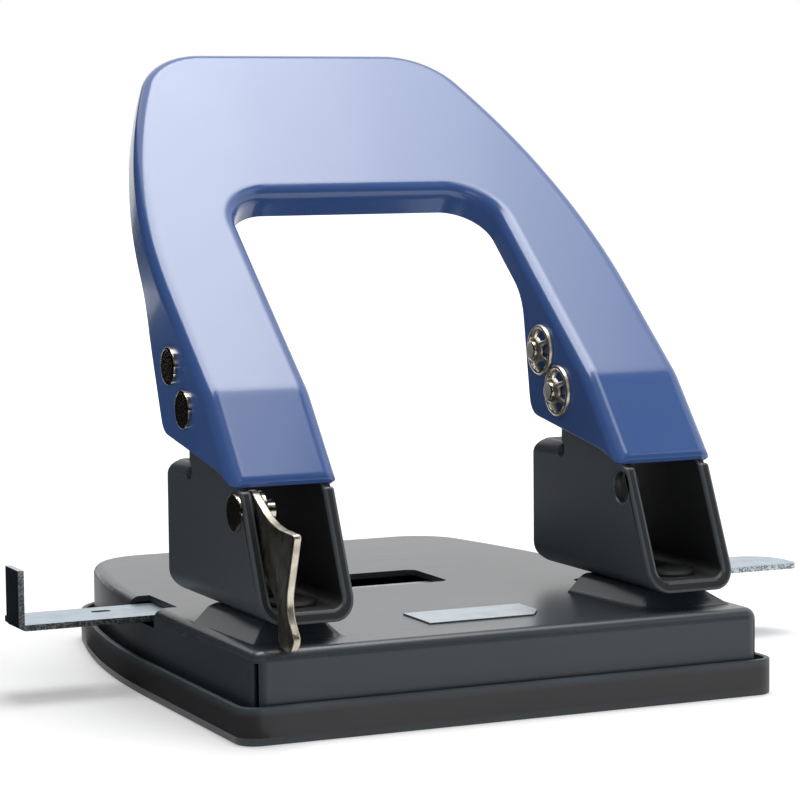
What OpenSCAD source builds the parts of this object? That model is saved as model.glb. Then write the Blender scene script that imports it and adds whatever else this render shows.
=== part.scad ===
// Two-hole desk punch: a pressed handle works two punches in bent brackets on a folded plate with a chip tray.
// Units are millimetres. X runs along the hole line, Y away from the lock lever, Z up from the tray's underside.

/* [Hole pattern] */
// Distance between the centres of the two punched holes
hole_pitch = 80; // [77:0.5:82]
// Diameter of each punched hole
hole_d = 6; // [5:0.1:6.5]
// Distance from the paper's edge to the hole centres
hole_margin = 12; // [11:0.25:13]

/* [Chip tray] */
// Width of the tray
tray_w = 111; // [109:0.5:116]
// Length of the tray from front to back
tray_d = 132; // [129:0.5:136]
// Height of the tray wall
tray_h = 7; // [5:0.25:9]
// Thickness of the tray wall
tray_wall = 1.2; // [1:0.1:1.6]
// Thickness of the tray floor
tray_floor = 1.5; // [1:0.1:2]

/* [Base plate] */
// Height of the plate's upper face above the table
plate_top = 16.8; // [15.8:0.2:18]
// Sheet thickness of the plate
plate_t = 1.2; // [1:0.1:1.4]
// Outer radius of the plate's folded edge
plate_fold = 2.2; // [1.8:0.1:2.8]
// Angle by which the sides run inward behind the shoulder
side_taper = 13; // [10:0.5:14]
// Place of the shoulder where the sides begin to run inward
shoulder_y = 16.5; // [14:0.5:20]
// Width of the window over the paper guide
window_w = 28; // [20:1:32]

/* [Brackets] */
// Height of the gap that takes the paper
throat_h = 3.6; // [3.4:0.1:4.4]
// Outer width of each bracket
bracket_w = 18.8; // [18.2:0.1:19.4]
// Length of each bracket along its floor
bracket_l = 50.7; // [50:0.1:52]
// Sheet thickness of the brackets
bracket_t = 2.3; // [2:0.1:2.5]
// Angle by which the front edge of the bracket leans back
bracket_lean = 24.5; // [23.5:0.1:25]
// Diameter of the round hole near the front of each bracket's left wall
front_hole_d = 6; // [5:0.1:6.5]

/* [Handle] */
// Sheet thickness of the handle
handle_t = 1; // [0.8:0.1:1.2]
// Slope of the grip against the table when released
handle_slope = 39.35; // [38.5:0.05:40.5]
// Length of the handle from its bend to the end of the grip
handle_l = 100.5; // [96:0.5:110]
// Length of the two arms below the bend
arm_l = 24.1; // [23.5:0.1:24.5]
// Height of the hand opening above the bend
slot_l = 53.6; // [48:0.2:58]
// Outer radius of the handle's folded edges
handle_fold = 2; // [1.6:0.1:2.4]
// Radius of the two corners at the end of the grip
grip_r = 16.5; // [14:0.5:24]

/* [Linkage] */
// Height of the pivot pins above the underside of the bracket floor
pivot_rise = 36.7; // [36.3:0.1:37.4]
// Diameter of the pivot pins and of the drive pins
pin_d = 4; // [3.5:0.1:4.5]
// Distance from the pivot pins to the drive pins
drive_arm = 10.9; // [10.5:0.05:11.4]
// Angle of the line from pivot pin to drive pin above level, handle released
drive_angle = 45.7; // [43:0.1:48]
// Wire thickness of the return springs
wire_d = 1; // [0.7:0.05:1.2]
// Number of curls in each return spring
spring_curls = 6; // [4:1:7]

/* [Lock lever] */
// Thickness of the lock lever
lever_t = 1.7; // [1.2:0.1:2]
// Diameter of the round part of the lever around its rivet
lever_boss_d = 8; // [7:0.1:8.4]

/* [Paper guide] */
// Width of the guide strip
guide_w = 14.3; // [11:0.1:15]
// Thickness of the guide strip
guide_t = 1.2; // [0.8:0.1:1.4]
// Distance from the centre to the outer face of the upturned tab
guide_left = 79.5; // [75:0.5:85]
// Distance from the centre to the right end of the guide
guide_right = 96; // [88:0.5:104]
// Height of the upturned tab
tab_h = 11.8; // [8:0.2:14]

/* [Label plate] */
// Width of the label plate
label_w = 25; // [18:0.5:28]
// Depth of the label plate
label_d = 12.4; // [9:0.2:14]

/* [Hidden] */
$fn = 64;

// Clearances
running = 0.05;
cheek_gap = 0.3;
groove_gap = 1.7;
groove_front = 0.4;
guide_gap = 0.2;
lever_gap = 0.25;
over = 1;
hair = 0.0002;
hair_share = 0.00001;
fold_lap = 0.2;
fold_step = 0.02;

// Base plate and tray outlines
tray_front = -tray_d / 2;
tray_back = tray_d / 2;
plate_hw = tray_w / 2 - tray_wall - groove_gap;
plate_front = tray_front + tray_wall + groove_front;
plate_back = tray_back - tray_wall - groove_gap;
plate_corner_r = plate_fold + 0.6;
shoulder_r = 250;
plate_back_r = 14;
plate_under = plate_top - plate_t;
rim_bottom = tray_floor;
seam_w = 0.9;

// Heights and places of the brackets
floor_z = plate_top + throat_h;
floor_top = floor_z + bracket_t;
bracket_setback = 3.2;
bracket_front = plate_front + bracket_setback;
bracket_back = bracket_front + bracket_l;
bracket_x = hole_pitch / 2;
bracket_bend = 4.5;
tab_bend = 3;
tab_rise = 26.1;
tab_top = floor_z + tab_rise;
tab_under = tab_top - bracket_t;
tab_l = 12;
tab_front = bracket_back - tab_l;
neck_step = 1.3;
neck_back = tab_front - neck_step;
heel_low_r = 3;
heel_top_r = 3.5;
wall_front_r = 0.8;
wall_slack = 0.5;
wall_in = bracket_w / 2 - bracket_t;
ear_r = 7;
relief_d = 3.5;
relief_in = 0.6;
relief_drop = 1.3;
relief_y = neck_back + relief_in;
relief_z = tab_top - relief_drop;

// Punch axis and paper stop
punch_y = bracket_back - 7;
stop_y = punch_y - hole_margin;
seat_front = bracket_front + 4.7;
seat_side = 11.2;
seat_narrow = 8.5;
rivet_front = 9.7;
rivet_rear = 6.5;
rivet_ys = [bracket_front + rivet_front, stop_y - rivet_rear];
rivet_d = 4;
rivet_head_d = 9.4;
rivet_head_h = 1.1;

// Pivot and drive pins
pivot_y = punch_y - 7.8;
pivot_z = floor_z + pivot_rise;
drive_y = pivot_y + drive_arm * cos(drive_angle);
drive_z = pivot_z + drive_arm * sin(drive_angle);
drive_reach = pivot_y + drive_arm - punch_y;
pin_head_d = 7.5;
pin_head_h = 1.2;
pin_stub = 3;
nut_d = 10.4;
nut_t = 0.6;
nut_hub_d = pin_d + 2.4;
nut_hub_t = 1.2;
nut_rim = 1.2;
nut_spokes = 6;
nut_spoke_w = 1.3;

// Handle: u across, v up the slope from the bend, w square to the sheet
arm_bend = 9.07;
cheek_out = bracket_x + bracket_w / 2 + cheek_gap + handle_t;
cheek_in = bracket_x - bracket_w / 2 - cheek_gap - handle_t;
pivot_v = 2.5;
pivot_w = -10.6;
bend_y = pivot_y - pivot_v * cos(handle_slope) + pivot_w * sin(handle_slope);
bend_z = pivot_z - pivot_v * sin(handle_slope) - pivot_w * cos(handle_slope);
grip_taper = 22.5;
grip_side = 43.9;
grip_run = 2;
grip_shoulder_v = handle_l - grip_side;
grip_corner = grip_r * tan(45 - grip_taper / 2);
grip_shoulder_r = (grip_side / cos(grip_taper) - grip_corner - grip_run) / tan(grip_taper / 2);
slot_r = 9.5;
cheek_depth = 30;
lip_skirt = 4.95;
hollow_v = -16.8;
hollow_w = 7.8;
hollow_r = 15;
heel_v = 9;
heel_w = 22.95;
heel_r = 4;
knee_v = 33.1;
knee_w = 9.54;
knee_r = 25;
slot_knee_v = 27;
slot_knee_r = 12;
slot_skirt = 6.9;
arm_slope = handle_slope + arm_bend;
lip_y = bend_y - arm_l * cos(arm_slope);
lip_z = bend_z - arm_l * sin(arm_slope);
lip_low_y = lip_y + handle_t * sin(arm_slope);
lip_low_z = lip_z - handle_t * cos(arm_slope);
lip_over = 1.1;
wall_front_top = lip_low_z - lip_over;

// Punch
punch_tip = floor_z + 0.5;
head_w = 10;
head_wall = 2;
slot_low = pin_d / 2 + running;
slot_high = pin_d / 2 + 0.7;
slot_front = punch_y - drive_y + pin_d / 2 + 0.5;
slot_back = drive_reach + pin_d / 2 + 0.5;
ring_t = 1.2;
ring_d = hole_d + 4;
ring_groove = 0.5;
ring_top = tab_under;

// Return springs
spring_low = floor_top;
spring_high = ring_top - ring_t;
spring_room = 0.7;
spring_r = hole_d / 2 + spring_room + wire_d / 2;
spring_steps = 8;
wire_sides = 6;

// Lock lever, its rivet and washer
lock_y = bracket_front + 12.9;
lock_rise = 19.5;
lock_z = floor_z + lock_rise;
lever_out = bracket_x + wall_in - lever_gap;
lever_in = lever_out - lever_t;
lock_pin_d = 4;
lock_head_d = 7.2;
lock_head_h = 0.9;
washer_d = 7.5;
washer_t = 0.8;
lock_stub = 3.2;
brow_reach = 10.6;
brow_drop = 1.33;
brow_r = 25;
thumb_reach = 9;
thumb_drop = 1.7;
thumb_r = 0.8;
waist_reach = 4;
waist_drop = 15.5;
waist_r = 6;
tip_drop = 0.6;
toe_reach = 8.2;
toe_rise = 2.9;
toe_r = 2;
ball_reach = 6;
ball_r = 2.2;
sole_reach = 0.7;
sole_rise = 1.1;
sole_r = 1.8;
hip_reach = 0.4;
hip_rise = 8.3;
hip_r = 4;

// Paper guide
guide_front = punch_y + 8.2;
guide_back = guide_front + guide_w;
guide_top = plate_under - guide_gap;
guide_low = guide_top - guide_t;
guide_tab_w = 8.5;
guide_tip_r = 8;
guide_nose_r = 2;
guide_back_r = 3;
guide_slot = [4, 2];
guide_slot_r = 0.9;
guide_slot_x = 19.5;
guide_slot_share = 0.65;
strap_x = 25;
strap_w = 10;
strap_t = 1;
strap_foot = 6;
notch_gap = 1.2;
notch_in = 5;

// Label plate
label_t = 0.3;
label_setback = 12.7;
label_front = plate_front + label_setback;
label_x = 0.5;
label_clip = [3, 4.5];

// Plain vector helpers
function unit(v) = v / norm(v);
function left(v) = [-v[1], v[0]];
function at(i, list) = list[(i + len(list)) % len(list)];

// Radius grown by a hair, so that an arc crosses the straights beside it instead of grazing them
function grown(r) = r * (1 + hair_share) + hair;

// One rounded corner: first tangent point, second tangent point, centre, turn, first direction
function corner(a, p, b, r) =
    let (
        d1 = unit(p - a),
        d2 = unit(b - p),
        turn = atan2(d1[0] * d2[1] - d1[1] * d2[0], d1 * d2),
        cut = r * tan(abs(turn) / 2)
    )
    [p - cut * d1, p + cut * d2, p - cut * d1 + sign(turn) * r * left(d1), turn, d1];
function corners(pts, rads) =
    [for (i = [0:len(pts) - 1]) corner(at(i - 1, pts), pts[i], at(i + 1, pts), rads[i])];

// Outline moved inward by g (outward where g is negative)
function inset(pts, g) = [
    for (i = [0:len(pts) - 1])
        let (
            n1 = left(unit(pts[i] - at(i - 1, pts))),
            n2 = left(unit(at(i + 1, pts) - pts[i]))
        )
        pts[i] + g * (n1 + n2) / (1 + n1 * n2)
];
function shrink(rads, g) = [for (r = rads) max(r - g, 0)];

// Outline with true arcs at its corners, bulging or hollow; points run anticlockwise
module rounded(pts, rads) {
    c = corners(pts, rads);
    last = len(pts) - 1;
    difference() {
        polygon([
            for (i = [0:last])
                each rads[i] > 0 && c[i][3] < 0 ? [c[i][0], c[i][2], c[i][1]] : [pts[i]]
        ]);
        for (i = [0:last])
            if (rads[i] > 0 && c[i][3] > 0)
                difference() {
                    n1 = unit(c[i][0] - c[i][2]);
                    n2 = unit(c[i][1] - c[i][2]);
                    polygon([
                        c[i][2], c[i][0] + over * n1,
                        pts[i] + over * (n1 + n2) / (1 + n1 * n2), c[i][1] + over * n2
                    ]);
                    translate(c[i][2])
                        circle(r = grown(rads[i]));
                }
        for (i = [0:last])
            if (rads[i] > 0 && c[i][3] < 0)
                translate(c[i][2])
                    circle(r = grown(rads[i]));
    }
}

// Section of what is taken off a sharp edge to leave a round fold: x runs inward, y up from the sheet's face
module fold_section(fold) {
    difference() {
        translate([-over, -fold])
            square(fold + over);
        translate([fold, -fold])
            circle(r = grown(fold));
    }
}

// Waste along the straight stretches of an edge; side is 1 for an outer edge and -1 for an opening
module fold_runs(pts, rads, fold, side) {
    c = corners(pts, rads);
    lap = side > 0 ? fold_lap : 0;
    for (i = [0:len(pts) - 1]) {
        a = c[i][1];
        b = at(i + 1, c)[0];
        d = side * unit(b - a);
        n = left(d);
        translate((side > 0 ? a : b) - lap * d)
            rotate([90, 0, atan2(n[1], n[0])])
                linear_extrude(norm(b - a) + 2 * lap)
                    fold_section(fold);
    }
}

// Waste along the round corners of an edge
module fold_turns(pts, rads, fold, side) {
    c = corners(pts, rads);
    for (i = [0:len(pts) - 1])
        if (rads[i] > 0) {
            lap = side > 0 ? 0 : fold_lap / rads[i] * 180 / PI;
            translate(c[i][2])
                rotate([0, 0, atan2(-c[i][4][0], c[i][4][1]) - lap])
                    rotate_extrude(angle = c[i][3] + 2 * lap)
                        translate([rads[i] + side * fold_step, 0])
                            mirror([side > 0 ? 1 : 0, 0])
                                fold_section(fold);
        }
}

// Body with a round fold along the outer edge of its upper face
module folded(pts, rads, fold) {
    difference() {
        difference() {
            children();
            fold_turns(pts, rads, fold, 1);
        }
        fold_runs(pts, rads, fold, 1);
    }
}

// Wall of thickness t just inside an outline
module band(pts, rads, t) {
    difference() {
        rounded(pts, rads);
        rounded(inset(pts, t), shrink(rads, t));
    }
}

// Side outline drawn in Y and Z, given a width along X
module along_x(x0, x1) {
    translate([x0, 0, 0])
        rotate([90, 0, 90])
            linear_extrude(x1 - x0)
                children();
}

// Round bar along X
module bar_x(x0, x1, d) {
    translate([x0, 0, 0])
        rotate([0, 90, 0])
            cylinder(h = x1 - x0, d = d);
}

// Part made for the right side, shown on the left
module to_left() {
    mirror([1, 0, 0])
        children();
}

// Plan outline of plate and tray: half width, front, back and place of the shoulder
function plan(hw, front, back, shoulder) =
    let (tail = hw - (back - shoulder) * tan(side_taper))
    [[-hw, front], [hw, front], [hw, shoulder], [tail, back], [-tail, back], [-hw, shoulder]];
function plan_radii(front_r, grow) =
    [front_r, front_r, shoulder_r + grow, plate_back_r + grow, plate_back_r + grow, shoulder_r + grow];
plate_plan = plan(plate_hw, plate_front, plate_back, shoulder_y);
plate_radii = plan_radii(plate_corner_r, 0);
tray_grow = tray_wall + groove_gap;
tray_plan = plan(tray_w / 2, tray_front, tray_back, shoulder_y + tray_grow * tan(side_taper / 2));
tray_radii = plan_radii(plate_corner_r + tray_wall, tray_grow);
tray_inner = inset(tray_plan, tray_wall);
tray_inner_radii = shrink(tray_radii, tray_wall);

// Raised seat under a bracket, its faces moved inward by g
module seat_form(g) {
    rise = floor_z - plate_top;
    slant = atan2(seat_side - seat_narrow, stop_y - seat_front);
    big = 60;
    intersection() {
        translate([-big / 2, seat_front - big, plate_under - over])
            cube([big, big + stop_y - seat_front + (g > 0 ? over : 0), rise + plate_t + over - g]);
        intersection_for (s = [-1, 1])
            translate([s * seat_side, stop_y, plate_top])
                rotate([0, 0, -s * slant])
                    rotate([0, -s * 45, 0])
                        translate([s > 0 ? -big - g : g, -big, -big])
                            cube([big, 2 * big, 2 * big]);
        translate([0, seat_front, plate_top])
            rotate([-45, 0, 0])
                translate([-big, g, -big])
                    cube([2 * big, big, 2 * big]);
    }
}

module base_plate() {
    color([0.25, 0.26, 0.28])
    difference() {
        union() {
            translate([0, 0, plate_top])
                folded(plate_plan, plate_radii, plate_fold)
                    difference() {
                        translate([0, 0, rim_bottom - plate_top])
                            linear_extrude(plate_top - rim_bottom)
                                rounded(plate_plan, plate_radii);
                        translate([0, 0, -plate_top])
                            linear_extrude(plate_under)
                                rounded(inset(plate_plan, plate_t), shrink(plate_radii, plate_t));
                    }
            for (s = [-1, 1])
                translate([s * bracket_x, 0, 0])
                    seat_form(0);
        }
        for (s = [-1, 1])
            translate([s * bracket_x, 0, 0]) {
                seat_form(plate_t);
                translate([0, punch_y, plate_under - over])
                    cylinder(h = plate_t + 2 * over, d = hole_d + 2 * running);
                for (y = rivet_ys)
                    translate([0, y, floor_z - plate_t - over])
                        cylinder(h = plate_t + 2 * over, d = rivet_d);
            }
        translate([0, (guide_front + guide_back) / 2 + 6.2, plate_under - over])
            linear_extrude(plate_t + 2 * over)
                rounded(
                    [[-window_w / 2, -9], [window_w / 2, -9], [window_w / 2, 9], [-window_w / 2, 9]],
                    [2, 2, 2, 2]
                );
        for (s = [-1, 1])
            translate([s * plate_hw, (guide_front + guide_back) / 2, guide_low - notch_gap])
                translate([-notch_in, -guide_w / 2 - notch_gap, 0])
                    cube([2 * notch_in, guide_w + 2 * notch_gap, plate_top]);
        for (s = [-1, 1])
            translate([s * plate_hw, plate_front, 0])
                rotate([0, 0, s * 45])
                    translate([-seam_w / 2, -5, rim_bottom - over])
                        cube([seam_w, 10, plate_top - plate_fold - rim_bottom + over]);
    }
}

module chip_tray() {
    color([0.19, 0.21, 0.24])
    difference() {
        linear_extrude(tray_h)
            rounded(tray_plan, tray_radii);
        translate([0, 0, tray_floor])
            linear_extrude(tray_h)
                rounded(tray_inner, tray_inner_radii);
    }
}

// Wall outline of a bracket in Y and Z
module bracket_side() {
    g_y = bracket_front + (wall_front_top - floor_z) * tan(bracket_lean);
    under_y = lip_low_y + wall_slack * sin(arm_slope);
    under_z = lip_low_z - wall_slack * cos(arm_slope);
    j = [under_y - (under_z - wall_front_top) / tan(arm_slope), wall_front_top];
    p = [pivot_y, pivot_z];
    aim = p - j;
    lean = atan2(aim[1], aim[0]) + asin(ear_r / norm(aim));
    t = p + ear_r * [-sin(lean), cos(lean)];
    rounded(
        [
            [bracket_front, floor_z], [bracket_back, floor_z], [bracket_back, tab_top],
            [neck_back, tab_top], [neck_back, pivot_z], t, j, [g_y, wall_front_top]
        ],
        [0, heel_low_r, heel_top_r, 0, 0, 0, 0, wall_front_r]
    );
    translate(p)
        circle(r = ear_r);
}

// Bracket at its own centre line, the round front hole in the wall on one side
module bracket(hole_side) {
    tall = pivot_z + ear_r + over;
    block_z = tab_top - tab_bend;
    box = [
        [-bracket_w / 2, floor_z], [bracket_w / 2, floor_z],
        [bracket_w / 2, tab_top], [-bracket_w / 2, tab_top]
    ];
    box_r = [bracket_bend, bracket_bend, tab_bend, tab_bend];
    channel = [
        [-bracket_w / 2, floor_z], [bracket_w / 2, floor_z],
        [bracket_w / 2, tall], [-bracket_w / 2, tall]
    ];
    inner = [
        [-wall_in, floor_top], [wall_in, floor_top], [wall_in, tall + over], [-wall_in, tall + over]
    ];
    inner_r = [bracket_bend - bracket_t, bracket_bend - bracket_t, 0, 0];
    difference() {
        intersection() {
            union() {
                difference() {
                    translate([0, bracket_back, 0])
                        rotate([90, 0, 0])
                            linear_extrude(bracket_l)
                                difference() {
                                    rounded(channel, [bracket_bend, bracket_bend, 0, 0]);
                                    rounded(inner, inner_r);
                                }
                    translate([-bracket_w, tab_front, block_z])
                        cube([2 * bracket_w, bracket_l, tall]);
                }
                intersection() {
                    translate([0, bracket_back, 0])
                        rotate([90, 0, 0])
                            linear_extrude(bracket_back - tab_front)
                                difference() {
                                    rounded(box, box_r);
                                    rounded(inset(box, bracket_t), shrink(box_r, bracket_t));
                                }
                    translate([-bracket_w, tab_front, block_z])
                        cube([2 * bracket_w, bracket_l, tall]);
                }
            }
            along_x(-bracket_w, bracket_w)
                bracket_side();
        }
        translate([-seam_w / 2, tab_front - over, tab_under - over])
            cube([seam_w, bracket_l, bracket_t + 2 * over]);
        translate([0, punch_y, floor_z - over])
            cylinder(h = tall, d = hole_d + 2 * running);
        for (y = rivet_ys)
            translate([0, y, floor_z - over])
                cylinder(h = bracket_t + 2 * over, d = rivet_d);
        translate([0, pivot_y, pivot_z])
            bar_x(-bracket_w, bracket_w, pin_d + 2 * running);
        translate([hole_side * (wall_in + bracket_t / 2), lock_y, lock_z])
            bar_x(-bracket_t / 2 - over, bracket_t / 2 + over, front_hole_d);
        for (s = [-1, 1])
            translate([s * (wall_in + bracket_t / 2), relief_y, relief_z])
                bar_x(-bracket_t / 2 - over, bracket_t / 2 + over, relief_d);
    }
}

module bracket_right() {
    color([0.24, 0.25, 0.27])
        translate([bracket_x, 0, 0])
            bracket(-1);
}

module bracket_left() {
    color([0.24, 0.25, 0.27])
        to_left()
            translate([bracket_x, 0, 0])
                bracket(1);
}

// Rivet through bracket floor and seat, closed flush under the seat
module floor_rivet() {
    translate([0, 0, floor_z - plate_t])
        cylinder(h = plate_t + bracket_t, d = rivet_d);
    translate([0, 0, floor_top])
        cylinder(h = rivet_head_h, d = rivet_head_d);
}

module bracket_rivets() {
    color([0.2, 0.2, 0.21])
        for (s = [-1, 1])
            for (y = rivet_ys)
                translate([s * bracket_x, y, 0])
                    floor_rivet();
}

// Rod and slotted head, at its own centre line
module punch() {
    low = drive_z - slot_low;
    high = drive_z + slot_high;
    difference() {
        union() {
            translate([0, punch_y, punch_tip])
                cylinder(h = low - punch_tip, d = hole_d);
            translate([-head_w / 2, punch_y - slot_front - head_wall, low - head_wall])
                cube([head_w, slot_front + slot_back + 2 * head_wall, high - low + 2 * head_wall]);
        }
        translate([-head_w, punch_y - slot_front, low])
            cube([2 * head_w, slot_front + slot_back, high - low]);
        translate([0, punch_y, ring_top - ring_t])
            difference() {
                cylinder(h = ring_t, d = hole_d + over);
                cylinder(h = ring_t, d = hole_d - 2 * ring_groove);
            }
    }
}

module punch_right() {
    color([0.7, 0.71, 0.72])
        translate([bracket_x, 0, 0])
            punch();
}

module punch_left() {
    color([0.7, 0.71, 0.72])
        translate([-bracket_x, 0, 0])
            punch();
}

// Open ring that snaps into the groove of a rod
module spring_ring() {
    bore = hole_d - 2 * ring_groove;
    translate([0, punch_y, ring_top - ring_t])
        difference() {
            cylinder(h = ring_t, d = ring_d);
            translate([0, 0, -over])
                cylinder(h = ring_t + 2 * over, d = bore);
            translate([-bore * 0.4, -ring_d, -over])
                cube([bore * 0.8, ring_d, ring_t + 2 * over]);
        }
}

module spring_ring_right() {
    color([0.55, 0.56, 0.58])
        translate([bracket_x, 0, 0])
            spring_ring();
}

module spring_ring_left() {
    color([0.55, 0.56, 0.58])
        translate([-bracket_x, 0, 0])
            spring_ring();
}

// Spring wire: rings of points along the curls, joined into one closed tube
spring_rings = spring_curls * spring_steps;
spring_rise = (spring_high - spring_low - wire_d) / spring_rings;
function spring_point(k, j) =
    let (
        a = 360 * k / spring_steps,
        b = 360 * j / wire_sides,
        r = spring_r + wire_d / 2 * cos(b)
    )
    [r * cos(a), r * sin(a), spring_low + wire_d / 2 + k * spring_rise + wire_d / 2 * sin(b)];
spring_points = [for (k = [0:spring_rings]) for (j = [0:wire_sides - 1]) spring_point(k, j)];
spring_sides = [
    for (k = [0:spring_rings - 1])
        for (j = [0:wire_sides - 1])
            let (
                a = k * wire_sides + j,
                b = k * wire_sides + (j + 1) % wire_sides,
                c = a + wire_sides,
                d = b + wire_sides
            )
            each [[a, c, b], [b, c, d]]
];
spring_start = [for (j = [1:wire_sides - 2]) [0, j, j + 1]];
spring_last = spring_rings * wire_sides;
spring_stop = [for (j = [1:wire_sides - 2]) [spring_last, spring_last + j + 1, spring_last + j]];
spring_gap = min([
    for (k = [0:spring_rings - spring_steps])
        for (i = [0:wire_sides - 1])
            for (j = [0:wire_sides - 1])
                norm(spring_point(k, i) - spring_point(k + spring_steps, j))
]);
echo(spring_gap = spring_gap);

module return_spring() {
    translate([0, punch_y, 0])
        polyhedron(points = spring_points, faces = concat(spring_sides, spring_start, spring_stop));
}

module return_spring_right() {
    color([0.6, 0.6, 0.62])
        translate([bracket_x, 0, 0])
            return_spring();
}

module return_spring_left() {
    color([0.6, 0.6, 0.62])
        translate([-bracket_x, 0, 0])
            return_spring();
}

// Handle outlines in u and v
grip_tail = cheek_out - grip_side * tan(grip_taper);
grip_plan = [
    [-cheek_out, -2 * arm_l], [cheek_out, -2 * arm_l], [cheek_out, grip_shoulder_v],
    [grip_tail, handle_l], [-grip_tail, handle_l], [-cheek_out, grip_shoulder_v]
];
grip_radii = [0, 0, grip_shoulder_r, grip_r, grip_r, grip_shoulder_r];
slot_plan = [
    [-cheek_in, -2 * arm_l], [cheek_in, -2 * arm_l], [cheek_in, slot_l], [-cheek_in, slot_l]
];
slot_radii = [0, 0, slot_r, slot_r];

// Side outline in v and w: from the sheet's face down to a depth, square at the lip, mitred at the bend
module under_face(depth) {
    lip = -arm_l * [cos(arm_bend), sin(arm_bend)];
    polygon([
        lip, lip + depth * [sin(arm_bend), -cos(arm_bend)], [depth * tan(arm_bend / 2), -depth],
        [2 * handle_l, -depth], [2 * handle_l, 0], [0, 0]
    ]);
}

// Cheek outline in v and w: hollow at the arm, round at the heel, rounded again at the knee above it
module cheek_side(knee, knee_r, skirt) {
    reach = 2 * handle_l;
    intersection() {
        rounded(
            [
                [-2 * arm_l, -lip_skirt], [-arm_l - over, -lip_skirt], [hollow_v, -hollow_w],
                [heel_v, -heel_w], knee, [reach, -skirt], [reach, over], [-2 * arm_l, over]
            ],
            [0, 0, hollow_r, heel_r, knee_r, 0, 0, 0]
        );
        under_face(cheek_depth);
    }
}

// Upright wall just inside a plan outline
module cheek_wall(pts, rads) {
    translate([0, 0, -cheek_depth])
        linear_extrude(cheek_depth + over)
            band(pts, rads, handle_t);
}

// Bent sheet with square edges: face, outer cheeks and the cheeks around the hand opening
module square_sheet() {
    wide = cheek_out + over;
    intersection() {
        translate([0, 0, -cheek_depth])
            linear_extrude(cheek_depth + over)
                difference() {
                    rounded(grip_plan, grip_radii);
                    rounded(slot_plan, slot_radii);
                }
        along_x(-wide, wide)
            under_face(handle_t);
    }
    intersection() {
        cheek_wall(grip_plan, grip_radii);
        along_x(-wide, wide)
            cheek_side([knee_v, -knee_w], knee_r, handle_t);
    }
    intersection() {
        cheek_wall(inset(slot_plan, -handle_t), [0, 0, slot_r + handle_t, slot_r + handle_t]);
        along_x(-wide, wide)
            cheek_side([slot_knee_v, -slot_skirt], slot_knee_r, slot_skirt);
    }
}

// The same sheet with the round folds along all its edges
module pressed_sheet() {
    arm_plan = [[cheek_in, -2 * arm_l], [cheek_out, -2 * arm_l], [cheek_out, arm_l], [cheek_in, arm_l]];
    difference() {
        folded(grip_plan, grip_radii, handle_fold)
            square_sheet();
        fold_turns(slot_plan, slot_radii, handle_fold, -1);
        fold_runs(slot_plan, slot_radii, handle_fold, -1);
        rotate([arm_bend, 0, 0])
            for (s = [0, 1])
                mirror([s, 0, 0])
                    fold_runs(arm_plan, [0, 0, 0, 0], handle_fold, 1);
    }
}

module handle() {
    color([0.3, 0.4, 0.63])
    difference() {
        translate([0, bend_y, bend_z])
            rotate([handle_slope, 0, 0])
                pressed_sheet();
        translate([0, pivot_y, pivot_z])
            bar_x(-cheek_out - over, cheek_out + over, pin_d);
        translate([0, drive_y, drive_z])
            bar_x(-cheek_out - over, cheek_out + over, pin_d);
    }
}

// Headed pin across one arm, its stub standing out beyond the inner cheek
module headed_pin() {
    bar_x(cheek_in - pin_stub + pin_d / 4, cheek_out, pin_d);
    bar_x(cheek_out, cheek_out + pin_head_h, pin_head_d);
    translate([cheek_in - pin_stub + pin_d / 4, 0, 0])
        rotate([0, -90, 0])
            cylinder(h = pin_d / 4, d1 = pin_d, d2 = pin_d / 2);
}

module pivot_pin_right() {
    color([0.75, 0.74, 0.7])
        translate([0, pivot_y, pivot_z])
            headed_pin();
}

module pivot_pin_left() {
    color([0.75, 0.74, 0.7])
        to_left()
            translate([0, pivot_y, pivot_z])
                headed_pin();
}

module drive_pin_right() {
    color([0.75, 0.74, 0.7])
        translate([0, drive_y, drive_z])
            headed_pin();
}

module drive_pin_left() {
    color([0.75, 0.74, 0.7])
        to_left()
            translate([0, drive_y, drive_z])
                headed_pin();
}

// Star-shaped ring pressed on the stub of a pin
module push_nut() {
    difference() {
        union() {
            difference() {
                bar_x(cheek_in - nut_t, cheek_in, nut_d);
                bar_x(cheek_in - nut_t - over, cheek_in + over, nut_d - 2 * nut_rim);
            }
            bar_x(cheek_in - nut_hub_t, cheek_in, nut_hub_d);
            for (k = [0:nut_spokes - 1])
                rotate([360 * k / nut_spokes, 0, 0])
                    translate([cheek_in - nut_t, -nut_spoke_w / 2, nut_hub_d / 2 - 0.5])
                        cube([nut_t, nut_spoke_w, nut_d / 2 - nut_rim - nut_hub_d / 2 + 1]);
        }
        bar_x(cheek_in - nut_hub_t - over, cheek_in + over, pin_d);
    }
}

module push_nuts() {
    color([0.7, 0.69, 0.66])
        for (s = [0, 1])
            mirror([s, 0, 0]) {
                translate([0, pivot_y, pivot_z])
                    push_nut();
                translate([0, drive_y, drive_z])
                    push_nut();
            }
}

// Lever outline in Y and Z, measured from its rivet
module lever_side() {
    r = lever_boss_d / 2;
    tip = plate_top - tip_drop - lock_z;
    back = bracket_front - lock_y;
    brow = [-brow_reach, -brow_drop];
    hip = [back - hip_reach, tip + hip_rise];
    rise_brow = atan2(-brow[1], -brow[0]) + asin(r / norm(brow));
    rise_back = atan2(-hip[1], -hip[0]) - asin(r / norm(hip));
    rounded(
        [
            r * [-sin(rise_brow), cos(rise_brow)], brow, [back - thumb_reach, -thumb_drop],
            [back - waist_reach, -waist_drop], [back - toe_reach, tip + toe_rise], [back - ball_reach, tip],
            [back - sole_reach, tip + sole_rise], hip, r * [sin(rise_back), -cos(rise_back)], [0, 0]
        ],
        [0, brow_r, thumb_r, waist_r, toe_r, ball_r, sole_r, hip_r, 0, 0]
    );
    circle(r = r);
}

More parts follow.
